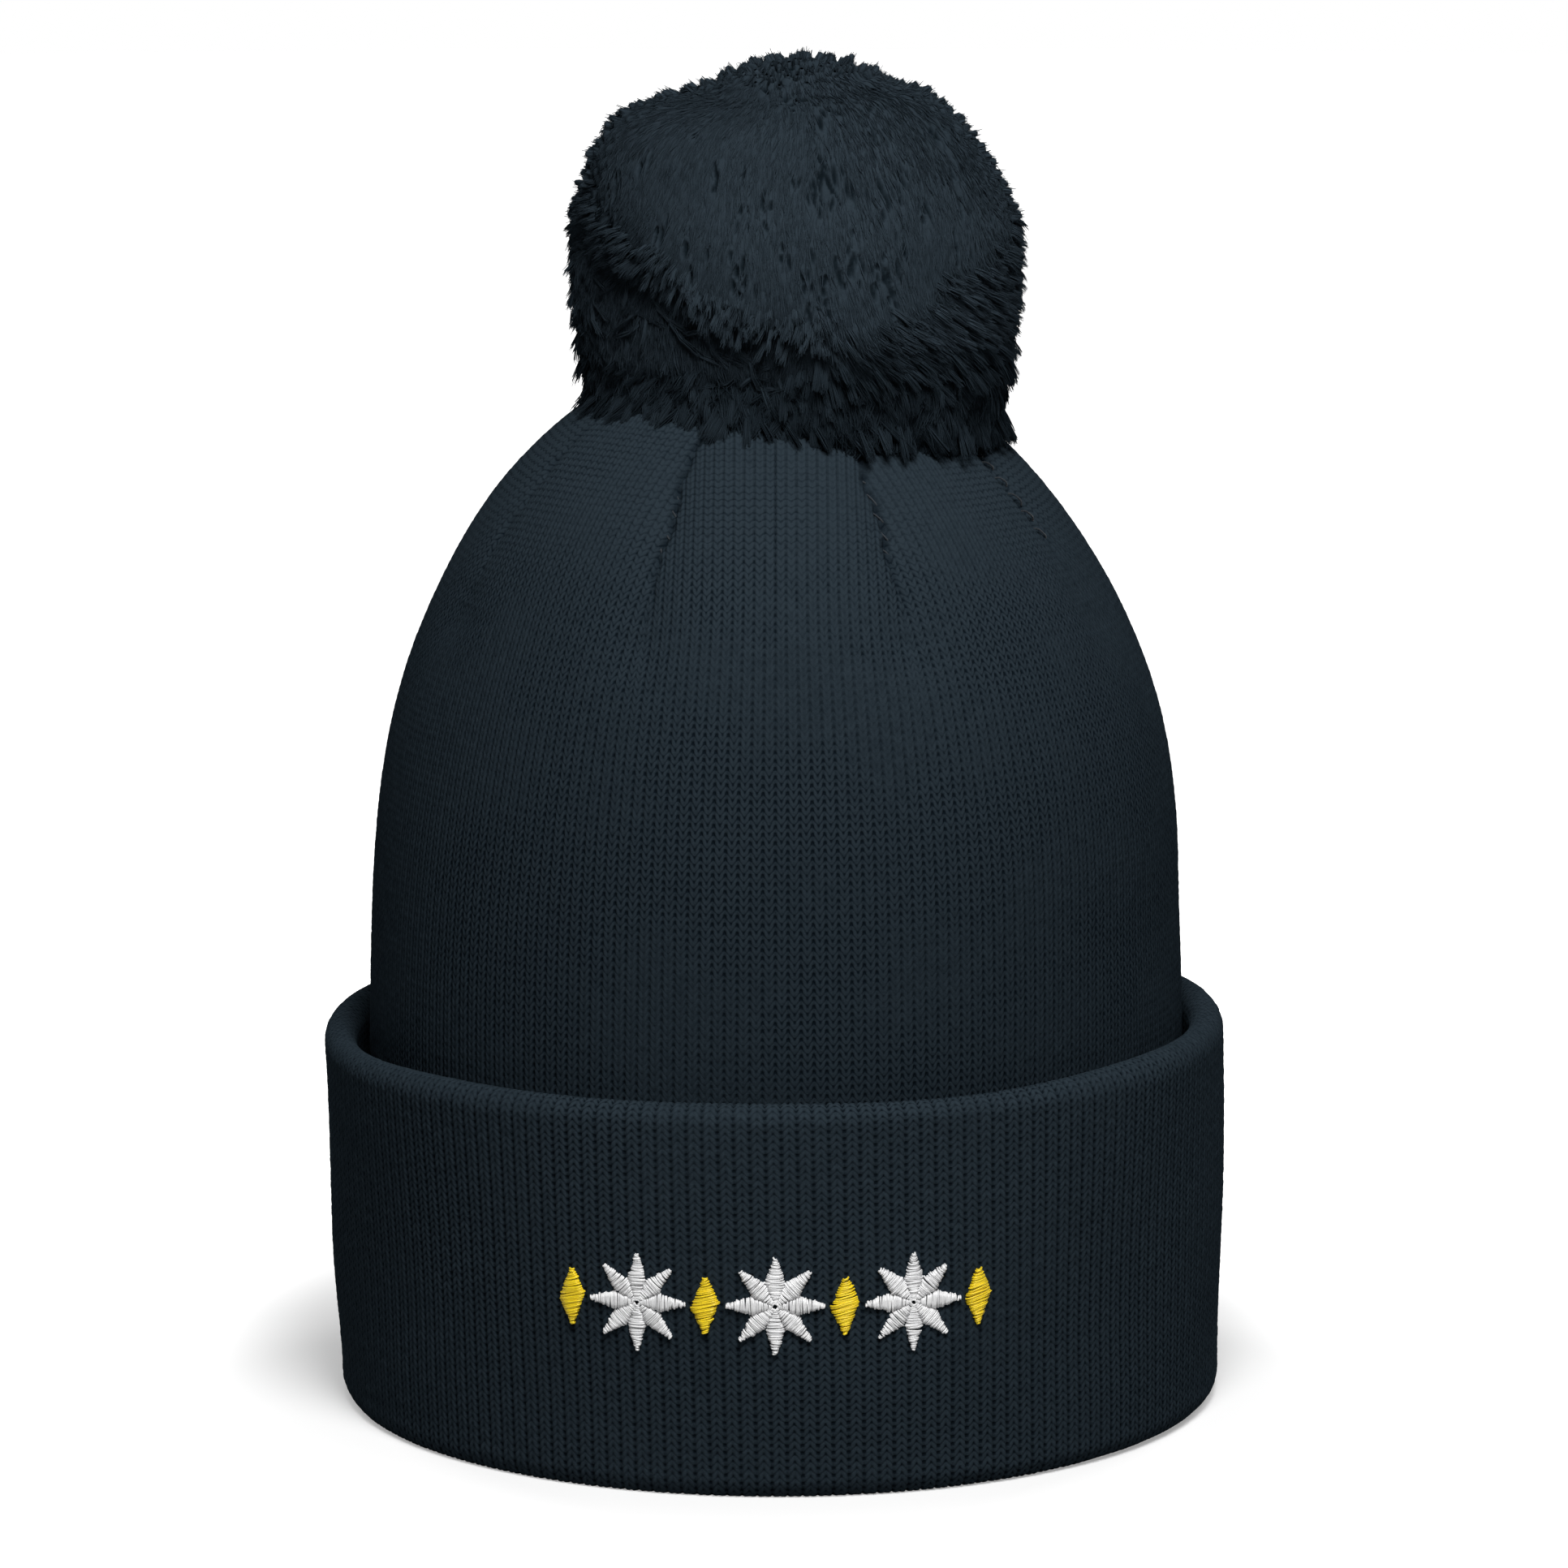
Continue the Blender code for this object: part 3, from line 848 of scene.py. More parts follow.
    def sew(self) -> None:
        """Whip stitches down each dart and the drawn-up ring round the tip."""
        rng = np.random.default_rng(self.seed + 5)
        places = np.arange(self.dart_high + 0.002, self.dart_low - 0.006, self.whip_pitch)
        share = np.linspace(-1.0, 1.0, 9)
        lift = -0.72 * (self.dart_depth + self.groove_depth) - 0.0008 * share**4
        paths = []
        for index in range(self.gores):
            azimuth = FRONT + FULL_TURN * (index + 0.5) / self.gores
            for radius in places + rng.normal(0.0, 0.0003, len(places)):
                side = share * self.whip_reach * rng.uniform(0.8, 1.15)
                slant = radius + share * self.whip_pitch * rng.uniform(0.25, 0.45)
                paths.append(self.on_side(slant, azimuth + side / radius, lift))
        turn = np.linspace(0.0, FULL_TURN, 49)
        ring = self.on_side(np.full_like(turn, self.ring_radius), turn, 0.0007 + 0.0002 * np.sin(9.0 * turn))
        weave = Weave()
        for threads, thread, box in (
            (np.array(paths), self.whip_thread, (0.0, 0.0, 1.0, 0.9)),
            (ring[None], self.ring_thread, (0.0, 0.9, 1.0, 1.0)),
        ):
            radii = np.full(threads.shape[:2], thread)
            weave.tubes(threads, radii, THREAD_SIDES, thread_marks(threads, rng), box)
        sewing = weave.piece("dart_sewing", NAVY_THREAD)
        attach(sewing, Body.CROWN.value)
        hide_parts("closing_stitch", *numbered("dart_stitch", self.gores))


def thread_marks(paths: Array, rng: Rng) -> Marks:
    """Marks of threads, with painted shade: lighter at the middle of each, darker towards its ends where it
    goes into the cloth.

    Args:
        paths: Places by thread and step.
        rng: Source of the threads' own shades.

    Returns:
        Marks by thread and step.
    """
    count, steps = paths.shape[:2]
    middle = np.sin(np.linspace(0.0, math.pi, steps))[None, :]
    own = rng.uniform(0.0, 1.0, (count, 1))
    return {"along": np.repeat(middle, count, axis=0), "shade": np.repeat(own, steps, axis=1)}


def numbered(node: str, count: int) -> list[str]:
    """Names of like solids, numbered from one."""
    return [f"{node}_{index + 1}" for index in range(count)]


@dataclass
class Cuff:
    """The turned-up cuff: one knit band over its back, rim, face and the fold it stands on."""

    back_radius: float = 0.0906
    face_low: float = 0.0960
    face_high: float = 0.0981
    inside: float = 0.0838
    seat: float = 0.0063
    face_top: float = 0.0787
    hidden_back: float = 0.0604
    roll_middle: float = 0.0790
    roll_rise: float = 0.0040
    turn_up: float = 0.0060
    turn_up_round: float = 0.0046
    lean: float = 0.0013
    ripple: float = 0.0004
    foot_set: float = 0.0010
    rim_set: float = -0.0005
    left_foot: float = 0.0011
    left_foot_height: float = 0.005
    waves: tuple[Place, ...] = ((0.00035, 4.0, 0.021), (0.00025, 7.0, -0.013))
    ribs: int = 188
    course: float = 0.00158
    rib_columns: int = 8
    course_rows: int = 4
    seed: int = 23

    def face_radius(self, height: Array) -> Array:
        """Radius of the cuff's face at a height."""
        share = (height - self.seat) / (self.face_top - self.seat)
        return self.face_low + (self.face_high - self.face_low) * share

    def profile(self) -> Profile:
        """The band's side line: up its back, over the rim, down its face and round the fold.

        Returns:
            The line.
        """
        middle = 0.5 * (self.back_radius + self.face_high)
        half = 0.5 * (self.face_high - self.back_radius)
        over = np.linspace(math.pi, 0.0, 60)
        quarter = np.linspace(0.0, -QUARTER_TURN, 30)
        bend = self.turn_up_round
        parts = [
            (np.full(80, self.back_radius), np.linspace(self.seat, self.face_top, 80)),
            (middle + half * np.cos(over), self.roll_middle + self.roll_rise * np.sin(over)),
            (np.linspace(self.face_high, self.face_low, 200), np.linspace(self.face_top, self.seat, 200)),
            (self.face_low - bend + bend * np.cos(quarter), bend + bend * np.sin(quarter)),
            (
                self.inside + bend + bend * np.cos(quarter - QUARTER_TURN),
                bend + bend * np.sin(quarter - QUARTER_TURN),
            ),
            (np.array([self.inside]), np.array([self.turn_up])),
        ]
        return Profile(*(np.concatenate(line) for line in zip(*parts)))

    def build(self) -> None:
        """Makes the band."""
        line = self.profile()
        lengths = line.stations(self.hidden_back, self.course / self.course_rows)
        reach, height, run, rise = line.at(lengths)
        column = np.arange(self.ribs * self.rib_columns)[None, :]
        azimuth = FRONT + FULL_TURN * column / column.size
        across = column / self.rib_columns + 0.0 * reach
        wale = np.floor(across + 0.5).astype(int) % self.ribs
        stitch, rng = Stitch(leg_rise=0.00034, valley=0.00032), np.random.default_rng(self.seed)
        relief, marks = stitch.relief(across, lengths[:, None] / self.course + 0.0 * azimuth, wale, rng)
        slow = sum(size * np.sin(turns * azimuth + height / pitch) for size, turns, pitch in self.waves)
        shift = relief + slow * smooth(0.004, 0.03, height)
        high = height / self.roll_middle
        tilt = (self.lean * np.cos(azimuth) + self.ripple * np.sin(3.0 * azimuth + 0.6)) * high**2
        places = wrapped(reach - rise * shift, height + run * shift + tilt, azimuth)
        places[..., 0] += self.foot_set + (self.rim_set - self.foot_set) * high
        left = np.clip(np.cos(azimuth - FRONT + 0.25 * math.pi), 0.0, 1.0)
        drop = self.left_foot * left * np.exp(-height / self.left_foot_height)
        places[..., 2] = np.maximum(places[..., 2] - drop, 0.0)
        weave = Weave()
        weave.grid(places, marks, flip=True)
        band = weave.piece("cuff_knit", CUFF_KNIT_PAINTED_LIGHTER)
        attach(band, Body.CUFF.value)
        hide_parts("cuff_face", "cuff_back", "cuff_rim", "cuff_turn_up")


@dataclass
class Embroidery:
    """A row of eight-pointed stars between lozenges, in satin stitch on the cuff's front."""

    cuff: Cuff
    stars: int = 3
    star_tip: float = 0.0105
    star_notch: float = 0.0052
    star_points: int = 8
    star_heart: float = 0.0006
    star_edge: float = 0.00022
    lozenge_half_width: float = 0.0030
    lozenge_half_height: float = 0.0062
    lozenge_edge: float = 0.00030
    lozenge_slant: float = 0.25
    pitch: float = 0.0145
    middle: float = 0.0415
    thread: float = 0.00021
    thread_pitch: float = 0.00034
    thread_steps: int = 11
    ragged: float = 0.00010
    rise: float = 0.00105
    uneven_rise: float = 0.00005
    root: float = -0.0007
    seed: int = 31

    def threads(self, starts: Array, ends: Array, rng: Rng) -> Array:
        """Satin threads from edge to edge, arched over the cloth.

        Args:
            starts: First ends on the cuff, aside and up.
            ends: Other ends.
            rng: Source of the ragged edges.

        Returns:
            Places by thread and step.
        """
        share = np.linspace(0.0, 1.0, self.thread_steps)[None, :, None]
        ragged = rng.normal(0.0, self.ragged, (2, *starts.shape))
        flat = (starts + ragged[0])[:, None] * (1.0 - share) + (ends + ragged[1])[:, None] * share
        arch = 1.0 - np.abs(2.0 * share[..., 0] - 1.0) ** 5
        lift = self.root + (self.rise - self.root) * arch
        lift = lift + rng.normal(0.0, self.uneven_rise, (len(starts), 1))
        height = flat[..., 1] + self.middle
        radius = self.cuff.face_radius(height) + lift
        return wrapped(radius, height, FRONT + flat[..., 0] / radius)

    def lozenge(self, aside: float, rng: Rng) -> Array:
        """Threads of one lozenge, laid nearly level.

        Args:
            aside: Its place round the cuff from the front's middle.
            rng: Source of the ragged edges.

        Returns:
            Places by thread and step.
        """
        tip = self.lozenge_half_height
        up = np.arange(0.0003 - tip, tip - 0.0002, self.thread_pitch)
        half = self.lozenge_half_width * (1.0 - np.abs(up) / tip) + self.lozenge_edge
        slant = self.lozenge_slant * half
        return self.threads(
            np.stack([aside - half, up - slant], axis=-1), np.stack([aside + half, up + slant], axis=-1), rng
        )

    def star(self, aside: float, rng: Rng) -> Array:
        """Threads of one star, each petal laid across its own length.

        Args:
            aside: Its place round the cuff from the front's middle.
            rng: Source of the ragged edges.

        Returns:
            Places by thread and step.
        """
        spread = math.pi / self.star_points
        shoulder, widest = self.star_notch * math.cos(spread), self.star_notch * math.sin(spread)
        out = np.arange(self.star_heart, self.star_tip - 0.0003, self.thread_pitch)
        outer = widest * (self.star_tip - out) / (self.star_tip - shoulder)
        half = (np.minimum(out * math.tan(spread), outer) + self.star_edge)[:, None]
        made = []
        for turn in FULL_TURN * np.arange(self.star_points) / self.star_points:
            axis = np.array([math.sin(turn), math.cos(turn)])
            side = np.array([axis[1], -axis[0]])
            middle = np.array([aside, 0.0]) + out[:, None] * axis
            made.append(self.threads(middle - half * side, middle + half * side, rng))
        return np.concatenate(made)

    def build(self) -> None:
        """Makes the white and the yellow stitching."""
        rng = np.random.default_rng(self.seed)
        white, yellow = [], []
        for index in range(2 * self.stars + 1):
            aside = self.pitch * (index - self.stars)
            if index % 2:
                white.append(self.star(aside, rng))
            else:
                yellow.append(self.lozenge(aside, rng))
        for name, parts, finish, node in (
            ("white_stitching", white, WHITE_THREAD, "embroidered_star"),
            ("yellow_stitching", yellow, YELLOW_THREAD, "embroidered_lozenge"),
        ):
            paths = np.concatenate(parts)
            weave = Weave()
            radii = np.full(paths.shape[:2], self.thread)
            weave.tubes(paths, radii, THREAD_SIDES, thread_marks(paths, rng))
            made = weave.piece(name, finish)
            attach(made, Body.CUFF.value)
            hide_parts(*numbered(node, len(parts)))
        dress_node("embroidery_backing", BACKING_FELT)


@dataclass(frozen=True)
class Tuft:
    """Cut yarn: a soft body inside a bundle of loose fibres that open out at the end."""

    body: float
    spread: float
    fibres: int
    splay: float
    fibre: float = 0.00011
    proud: float = 0.0008
    tone: float = 0.5
    # Painted shade: the colour at the roots, down in the pile.
    shaded_root_tone: float = 0.62
    end: float = 0.06
    body_map: float = 0.35

    def lay(self, weave: Weave, strands: Strands, box: Span, rng: Rng) -> None:
        """Adds tufts along strands.

        Args:
            weave: What they are added to.
            strands: Inner ends, points they curve towards, and outer ends.
            box: The lower and upper edge of the map that they take.
            rng: Source of their unevenness.
        """
        roots, bends, tips = strands
        count = len(tips)
        own = np.clip(rng.normal(self.tone, 0.16, (count, 1)), 0.0, 1.0)
        split = box[0] + self.body_map * (box[1] - box[0])
        share = np.array([0.0, 0.45, 0.78, 0.93, 1.0])
        thick = self.body * rng.uniform(0.8, 1.2, (count, 1))
        radii = thick * np.array([[0.8, 1.0, 0.95, 0.70, self.end]])
        body_box = (0.0, box[0], 1.0, split)
        weave.tubes(self.path(strands, share), radii, TUFT_SIDES, self.marks(share, own), body_box)

        many = np.repeat(np.arange(count), self.fibres)
        share = np.array([0.30, 0.72, 1.0])
        axis = unit(tips - bends)[many]
        first, second = square_to(axis, axis)
        turn = rng.uniform(0.0, FULL_TURN, len(many))
        out = np.sqrt(rng.uniform(0.20, 1.0, len(many)))
        twist = rng.normal(0.0, 0.35, len(many))
        longer = (self.proud * (1.1 - out**2) + rng.normal(0.0, 0.0004, len(many)))[:, None]
        paths = self.path((roots[many], bends[many], tips[many] + axis * longer), share)
        for step, flare in enumerate((0.80, 1.0, self.splay)):
            heading = turn + twist * share[step]
            aside = first * (np.cos(heading) * out)[:, None] + second * (np.sin(heading) * out)[:, None]
            paths[:, step] += aside * (self.spread * flare)
        radii = self.fibre * np.array([[1.0, 1.0, 0.5]]) * rng.uniform(0.75, 1.25, (len(many), 1))
        shade = np.clip(own[many] + rng.normal(0.0, 0.14, (len(many), 1)), 0.0, 1.0)
        weave.tubes(paths, radii, FIBRE_SIDES, self.marks(share, shade), (0.0, split, 1.0, box[1]))

    def marks(self, share: Array, own: Array) -> Marks:
        """Marks of strands by step, each with its own shade, with painted shade darker at their roots and
        lighter towards their ends.
        """
        along = np.repeat(self.shaded_root_tone + 0.40 * share[None, :] ** 2, len(own), axis=0)
        return {"along": along, "shade": np.repeat(own, len(share), axis=1)}

    @staticmethod
    def path(strands: Strands, steps: Array) -> Array:
        """Curves from roots to tips, drawn towards the bends.

        Args:
            strands: Inner ends, points they curve towards, and outer ends.
            steps: Steps along, 0 to 1.

        Returns:
            Places by strand and step.
        """
        roots, bends, tips = (ends[:, None] for ends in strands)
        share = steps[None, :, None]
        rest = 1.0 - share
        return roots * rest**2 + 2.0 * bends * rest * share + tips * share**2


# Painted light: the brushed tufts are coloured lighter to make up for the shade they cast on one another.
BRUSHED = Tuft(body=0.00030, spread=0.00080, fibres=30, splay=1.25, fibre=0.00010, tone=0.78)
BLUNT = Tuft(body=0.00085, spread=0.00095, fibres=14, splay=0.9, fibre=0.00012, proud=0.0, end=0.40)
HANGING = Tuft(body=0.00034, spread=0.00050, fibres=20, splay=1.50, proud=0.0016, tone=0.65)
STRAY = Tuft(body=0.00022, spread=0.00052, fibres=14, splay=1.40, fibre=0.00009, proud=0.0012, tone=0.65)
# Painted shade: the fringe is coloured darker, as the pom's shadow over it.
FRINGE = Tuft(
    body=0.00026,
    spread=0.00074,
    fibres=28,
    splay=1.30,
    fibre=0.00010,
    proud=0.0012,
    tone=0.16,
    shaded_root_tone=0.36,
)


@dataclass
class Pom:
    """The pom-pom: combed pile over its yarn ends, tufts under its brow, and the fringe on the crown.

    The brow is the lower edge of the combed pile. Turns are azimuths off the front, right positive.
    """

    crown: Crown
    middle: Place = (0.0045, 0.0, 0.2473)
    radius: float = 0.0480
    rise: float = 0.0427
    foot_radius: float = 0.0455
    foot: float = 0.2235
    tuck: float = 0.0012
    bending: float = 0.2320
    lean_low: Place = (0.0, 0.0, 0.2235)
    lean_high: Place = (0.0, 0.0, 0.2620)
    brow_low: float = -0.0110
    brow_left: float = 0.0210
    brow_left_width: float = 0.84
    brow_right: float = 0.0200
    brow_right_width: float = 0.73
    brow_back: float = 0.0075
    brow_behind: Span = (1.7, 2.6)
    brow_turn: float = math.radians(7.0)
    brow_waves: tuple[Place, ...] = ((0.0012, 9.0, 1.0), (0.0008, 19.0, 0.0))
    brow_edge: Span = (0.003, -0.005)
    hollow_left: Span = (-1.75, -1.25)
    hollow_right: Span = (0.10, -0.22)
    recess: float = 0.0026
    plain_recess: float = 0.0008
    lobe: Place = (0.42, -0.82, -0.30)
    apron_turn: float = 0.15
    apron_height: float = 0.011
    apron_dip: float = 0.0026
    apron_dip_at: float = 0.019
    yarn_ends: int = 2200
    end_size: float = 0.00155
    end_rise: float = 0.00016
    side_end_rise: float = 0.00070
    side_ends: Span = (0.95, 1.45)
    top_ends: Span = (0.92, 0.99)
    blunt_side: Span = (1.15, 1.50)
    blunt_top: Span = (0.90, 0.96)
    blunt_length: float = 0.006
    parting_groups: int = 130
    group_size: int = 5
    group_spread: float = 0.0021
    parting_least: Place = (0.00028, 0.0010, -0.2)
    parting_most: Place = (0.00070, 0.0042, 0.35)
    parting_depth: float = 0.0009
    parting_room: float = 0.005
    columns: int = 760
    rows: int = 430
    pile_tone: float = 0.74
    # Painted light: how much lighter the pile is coloured in the hollow, to make up for its shade.
    hollow_painted_light: float = 0.14
    combing: float = 1.6
    fibres: int = 42000
    fibre: float = 0.00010
    fibre_length: Span = (0.0035, 0.0065)
    fibre_stand: float = 0.00024
    loose_side: Span = (0.7, 1.2)
    tufts: int = 3400
    tuft_length: float = 0.0085
    tuft_fall: float = math.radians(66.0)
    stray_tufts: int = 360
    stray_turns: Span = (-1.75, 0.15)
    stray_length: Span = (0.002, 0.0055)
    hanging_tufts: int = 34
    hanging_turns: Span = (-1.25, 0.05)
    hanging_length: Span = (0.004, 0.011)
    hanging_lift: Place = (-0.0012, 0.0016, 0.0006)
    skirt_top: float = 0.2285
    skirt_foot: float = 0.0428
    skirt_sink: float = 0.0034
    skirt_inset: float = 0.0016
    skirt_columns: int = 300
    skirt_rows: int = 22
    skirt_fibres: int = 7000
    fringe_tufts: int = 1000
    fringe_locks: int = 120
    seed: int = 47
    rng: Rng = field(init=False)
    centre: Array = field(init=False)
    end_places: Array = field(init=False)
    ends: KDTree = field(init=False)
    parted: Array = field(init=False)
    parted_size: Array = field(init=False)

    def __post_init__(self) -> None:
        """Sets out the yarn ends and the partings between them."""
        self.rng = np.random.default_rng(self.seed + 1)
        self.centre = np.array(self.middle)
        rng = np.random.default_rng(self.seed)
        self.end_places = self.surface(self.scatter(self.yarn_ends, rng))
        self.ends = KDTree(self.yarn_ends)
        for index, place in enumerate(self.end_places):
            self.ends.insert(place, index)
        self.ends.balance()
        dome = self.end_places[self.under(self.end_places - self.centre) < 0.1]
        groups = np.repeat(dome[rng.integers(0, len(dome), self.parting_groups)], self.group_size, axis=0)
        self.parted = self.on_pile(groups + rng.normal(0.0, self.group_spread, groups.shape))
        self.parted_size = rng.uniform(self.parting_least, self.parting_most, groups.shape)

    @staticmethod
    def turn_of(offset: Array) -> Array:
        """Turns of places about the pom's middle."""
        return np.arctan2(offset[..., 0], -offset[..., 1])

    @staticmethod
    def off_axis(turn: Array, reach: Array | float, height: Array) -> Array:
        """Offsets from the pom's middle, from turns, distances from its axis, and heights."""
        return np.stack([reach * np.sin(turn), -reach * np.cos(turn), height], axis=-1)

    @staticmethod
    def outward(offset: Array) -> Array:
        """Outward directions at places about the pom's middle, nearly level on its lower part."""
        height = np.where(offset[..., 2] > 0.0, 1.1 * offset[..., 2], 0.2 * offset[..., 2])
        return unit(np.concatenate([offset[..., :2], height[..., None]], axis=-1))

    def brow(self, turn: Array) -> Array:
        """Height of the brow over the pom's middle.

        Args:
            turn: Turns.

        Returns:
            Heights.
        """
        aside = turn - self.brow_turn
        left = self.brow_left * (1.0 - hump(aside, self.brow_left_width))
        right = self.brow_right * (1.0 - hump(aside, self.brow_right_width))
        back = smooth(*self.brow_behind, np.abs(aside))
        edge = (self.brow_low + np.where(aside < 0.0, left, right)) * (1.0 - back) + self.brow_back * back
        return edge + sum(size * np.sin(count * turn + start) for size, count, start in self.brow_waves)

    def under(self, offset: Array) -> Array:
        """0 in the combed pile to 1 below its brow, at places about the pom's middle."""
        return smooth(*self.brow_edge, offset[..., 2] - self.brow(self.turn_of(offset)))

    def hollow(self, offset: Array) -> Array:
        """1 in the set-in left of the front, below the brow, to 0 elsewhere."""
        turn = self.turn_of(offset)
        return smooth(*self.hollow_left, turn) * smooth(*self.hollow_right, turn) * self.under(offset)

    def lumps(self, way: Array) -> Array:
        """How far the surface stands out or in along a direction.

        Args:
            way: Directions from the pom's middle.

        Returns:
            Distances in metres.
        """
        x, y, z = way[..., 0], way[..., 1], way[..., 2]
        broad = np.sin(5.0 * x + 3.0 * z) * np.cos(4.0 * y - 2.0 * z) + 0.7 * np.sin(8.0 * z - 5.0 * y + 1.0)
        shoulder = (0.0014 - 0.0022 * x) * hump(z - 0.62, 0.20) - 0.0014 * hump(z - 0.90, 0.06)
        shoulder = shoulder - 0.0016 * hump(z - 0.85, 0.14) * smooth(0.10, -0.40, x)
        lobe = hump(np.linalg.norm(way - unit(np.array(self.lobe)), axis=-1), 0.40)
        return 0.0006 * broad + shoulder + 0.0012 * lobe

    def sunk(self, offset: Array) -> Array:
        """How far in the pile is set below its brow, most in the hollow."""
        hollow = self.hollow(offset)
        return self.recess * hollow + self.plain_recess * self.under(offset) * (1.0 - hollow)

    def apron(self, offset: Array) -> Array:
        """How far the front leans out towards its brow, as if the pile had slid forward.

        Args:
            offset: Places about the pom's middle.

        Returns:
            Distances in metres.
        """
        turn, height = self.turn_of(offset), offset[..., 2]
        front = np.clip(np.cos(turn - self.apron_turn), 0.0, 1.0) ** 2
        right = smooth(-0.10, 0.30, turn)
        low = (0.0018 + 0.0036 * right) * hump(height + 0.007 + 0.008 * right, self.apron_height)
        dip = self.apron_dip * hump(height - self.apron_dip_at, self.apron_height)
        return front * (low * (1.0 - self.hollow(offset)) - dip)

    def surface(self, way: Array) -> Array:
        """Places on the pom's outside, from directions whose height runs from -1 at its foot to 1.

        Args:
            way: Directions.

        Returns:
            Places.
        """
        high, low = np.clip(way[..., 2], 0.0, 1.0), np.clip(-way[..., 2], 0.0, 1.0)
        level = np.sqrt(np.clip(1.0 - high**2, 0.0, 1.0))
        reach = self.radius * level + (self.foot_radius - self.radius) * low**1.5
        reach = reach - self.tuck * smooth(0.80, 1.0, low)
        height = self.rise * high + (self.foot - self.middle[2]) * low
        offset = np.concatenate([unit(way[..., :2]) * reach[..., None], height[..., None]], axis=-1)
        outward = self.outward(offset)
        move = self.lumps(outward) + self.apron(offset) - self.sunk(offset)
        return offset + outward * move[..., None] + self.centre

    def on_pile(self, places: Array) -> Array:
        """The places on the pom's outside that lie towards others.

        Args:
            places: Places near the outside.

        Returns:
            Places on it.
        """
        offset = places - self.centre
        scaled = unit(offset / np.array([self.radius, self.radius, self.rise]))
        low = np.clip(offset[..., 2] / (self.middle[2] - self.foot), -1.0, 0.0)
        height = np.where(offset[..., 2] > 0.0, scaled[..., 2], low)
        level = np.sqrt(1.0 - np.clip(height, 0.0, 1.0) ** 2)
        flat = unit(offset[..., :2]) * level[..., None]
        return self.surface(np.concatenate([flat, height[..., None]], axis=-1))

    def lifted(self, places: Array, lift: Array) -> Array:
        """Places moved outward."""
        return places + self.outward(places - self.centre) * lift[..., None]

    @staticmethod
    def way(turn: Array, height: Array) -> Array:
        """Directions at azimuths, whose height runs from -1 at the pom's foot to 1."""
        return wrapped(np.sqrt(1.0 - np.clip(height, 0.0, 1.0) ** 2), height + 0.0 * turn, turn)

    def around(self, turn: Array, height: Array) -> Array:
        """Places on the pom's outside, by turn and by height over its middle."""
        return self.on_pile(self.off_axis(turn, self.radius, height) + self.centre)

    def scatter(self, count: int, rng: Rng) -> Array:
        """Directions spread evenly, with some unevenness.

        Args:
            count: How many.
            rng: Source of the unevenness.

        Returns:
            Directions.
        """
        step = np.arange(count) + 0.5
        low = -(self.middle[2] - self.foot) / self.rise
        height = 1.0 - (1.0 - low) * step / count + rng.normal(0.0, 0.006, count)
        height = np.where(height < 0.0, height / -low, height)
        turn = step * math.pi * (3.0 - math.sqrt(5.0)) + rng.normal(0.0, 0.02, count)
        return self.way(turn, np.clip(height, -1.0, 0.9995))

    def felt(self, places: Array) -> tuple[Array, Array, Array]:
        """Yarn ends that round the surface out, and partings between them.

        Args:
            places: Places on the surface.

        Returns:
            How far out each stands, how far into a parting it is, and how far between yarn ends.
        """
        listed = places.reshape(-1, 3)
        apart = np.array([self.ends.find(place)[2] for place in listed]).reshape(places.shape[:-1])
        offset = places - self.centre
        tufted = smooth(*self.side_ends, np.abs(self.turn_of(offset)))
        tufted = np.maximum(tufted, smooth(*self.top_ends, self.outward(offset)[..., 2]))
        between = np.clip(apart / self.end_size, 0.0, 1.2) ** 2
        parting = np.zeros(len(listed))
        for middle, (wide, tall, lean) in zip(self.parted, self.parted_size):
            gap = listed - middle
            near = np.abs(gap).max(-1) < self.parting_room
            out = unit(middle - self.centre)
            fall = unit(np.array([lean, 0.0, -1.0]) + out * out[2])
            along = gap[near] @ fall
            across = np.linalg.norm(gap[near] - along[:, None] * fall, axis=-1)
            deep = np.clip(1.0 - (along / tall) ** 2 - (across / wide) ** 2, 0.0, 1.0)
            parting[near] = np.maximum(parting[near], deep)
        parting = parting.reshape(places.shape[:-1])
        out = (self.end_rise + self.side_end_rise * tufted) * (1.0 - 1.4 * between)
        return out - self.parting_depth * parting, parting, between * (0.15 + 0.85 * tufted)

    def flow(self, places: Array) -> Array:
        """Which way the pile is combed.

        Args:
            places: Places on the surface.

        Returns:
            Directions along the surface.
        """
        offset = places - self.centre
        outward, turn = self.outward(offset), self.turn_of(offset)
        down = unit(outward * outward[:, 2:3] - UPWARD)
        side = np.stack([np.cos(turn), np.sin(turn), np.zeros_like(turn)], axis=-1)
        over_brow = offset[:, 2] - self.brow(turn)
        right = smooth(0.0, 0.55, turn) * smooth(2.2, 1.1, turn) * smooth(0.006, -0.004, over_brow)
        left = smooth(-0.35, -1.0, turn) * smooth(-2.3, -1.7, turn)
        left = left * smooth(0.016, 0.004, over_brow) * smooth(-0.008, -0.003, over_brow)
        x, y, z = offset.T
        lock = np.sin(130.0 * x + 70.0 * z) * np.sin(120.0 * y - 90.0 * z)
        wander = 0.28 * lock + self.rng.normal(0.0, 0.16, len(offset))
        return unit(down + side * (self.combing * right - self.combing * left + wander)[:, None])

    def fibre_radii(self, count: int) -> Array:
        """Radii of fine fibres at four steps along, thin at their ends."""
        return self.fibre * np.array([[1.0, 1.0, 0.9, 0.4]]) * self.rng.uniform(0.7, 1.3, (count, 1))

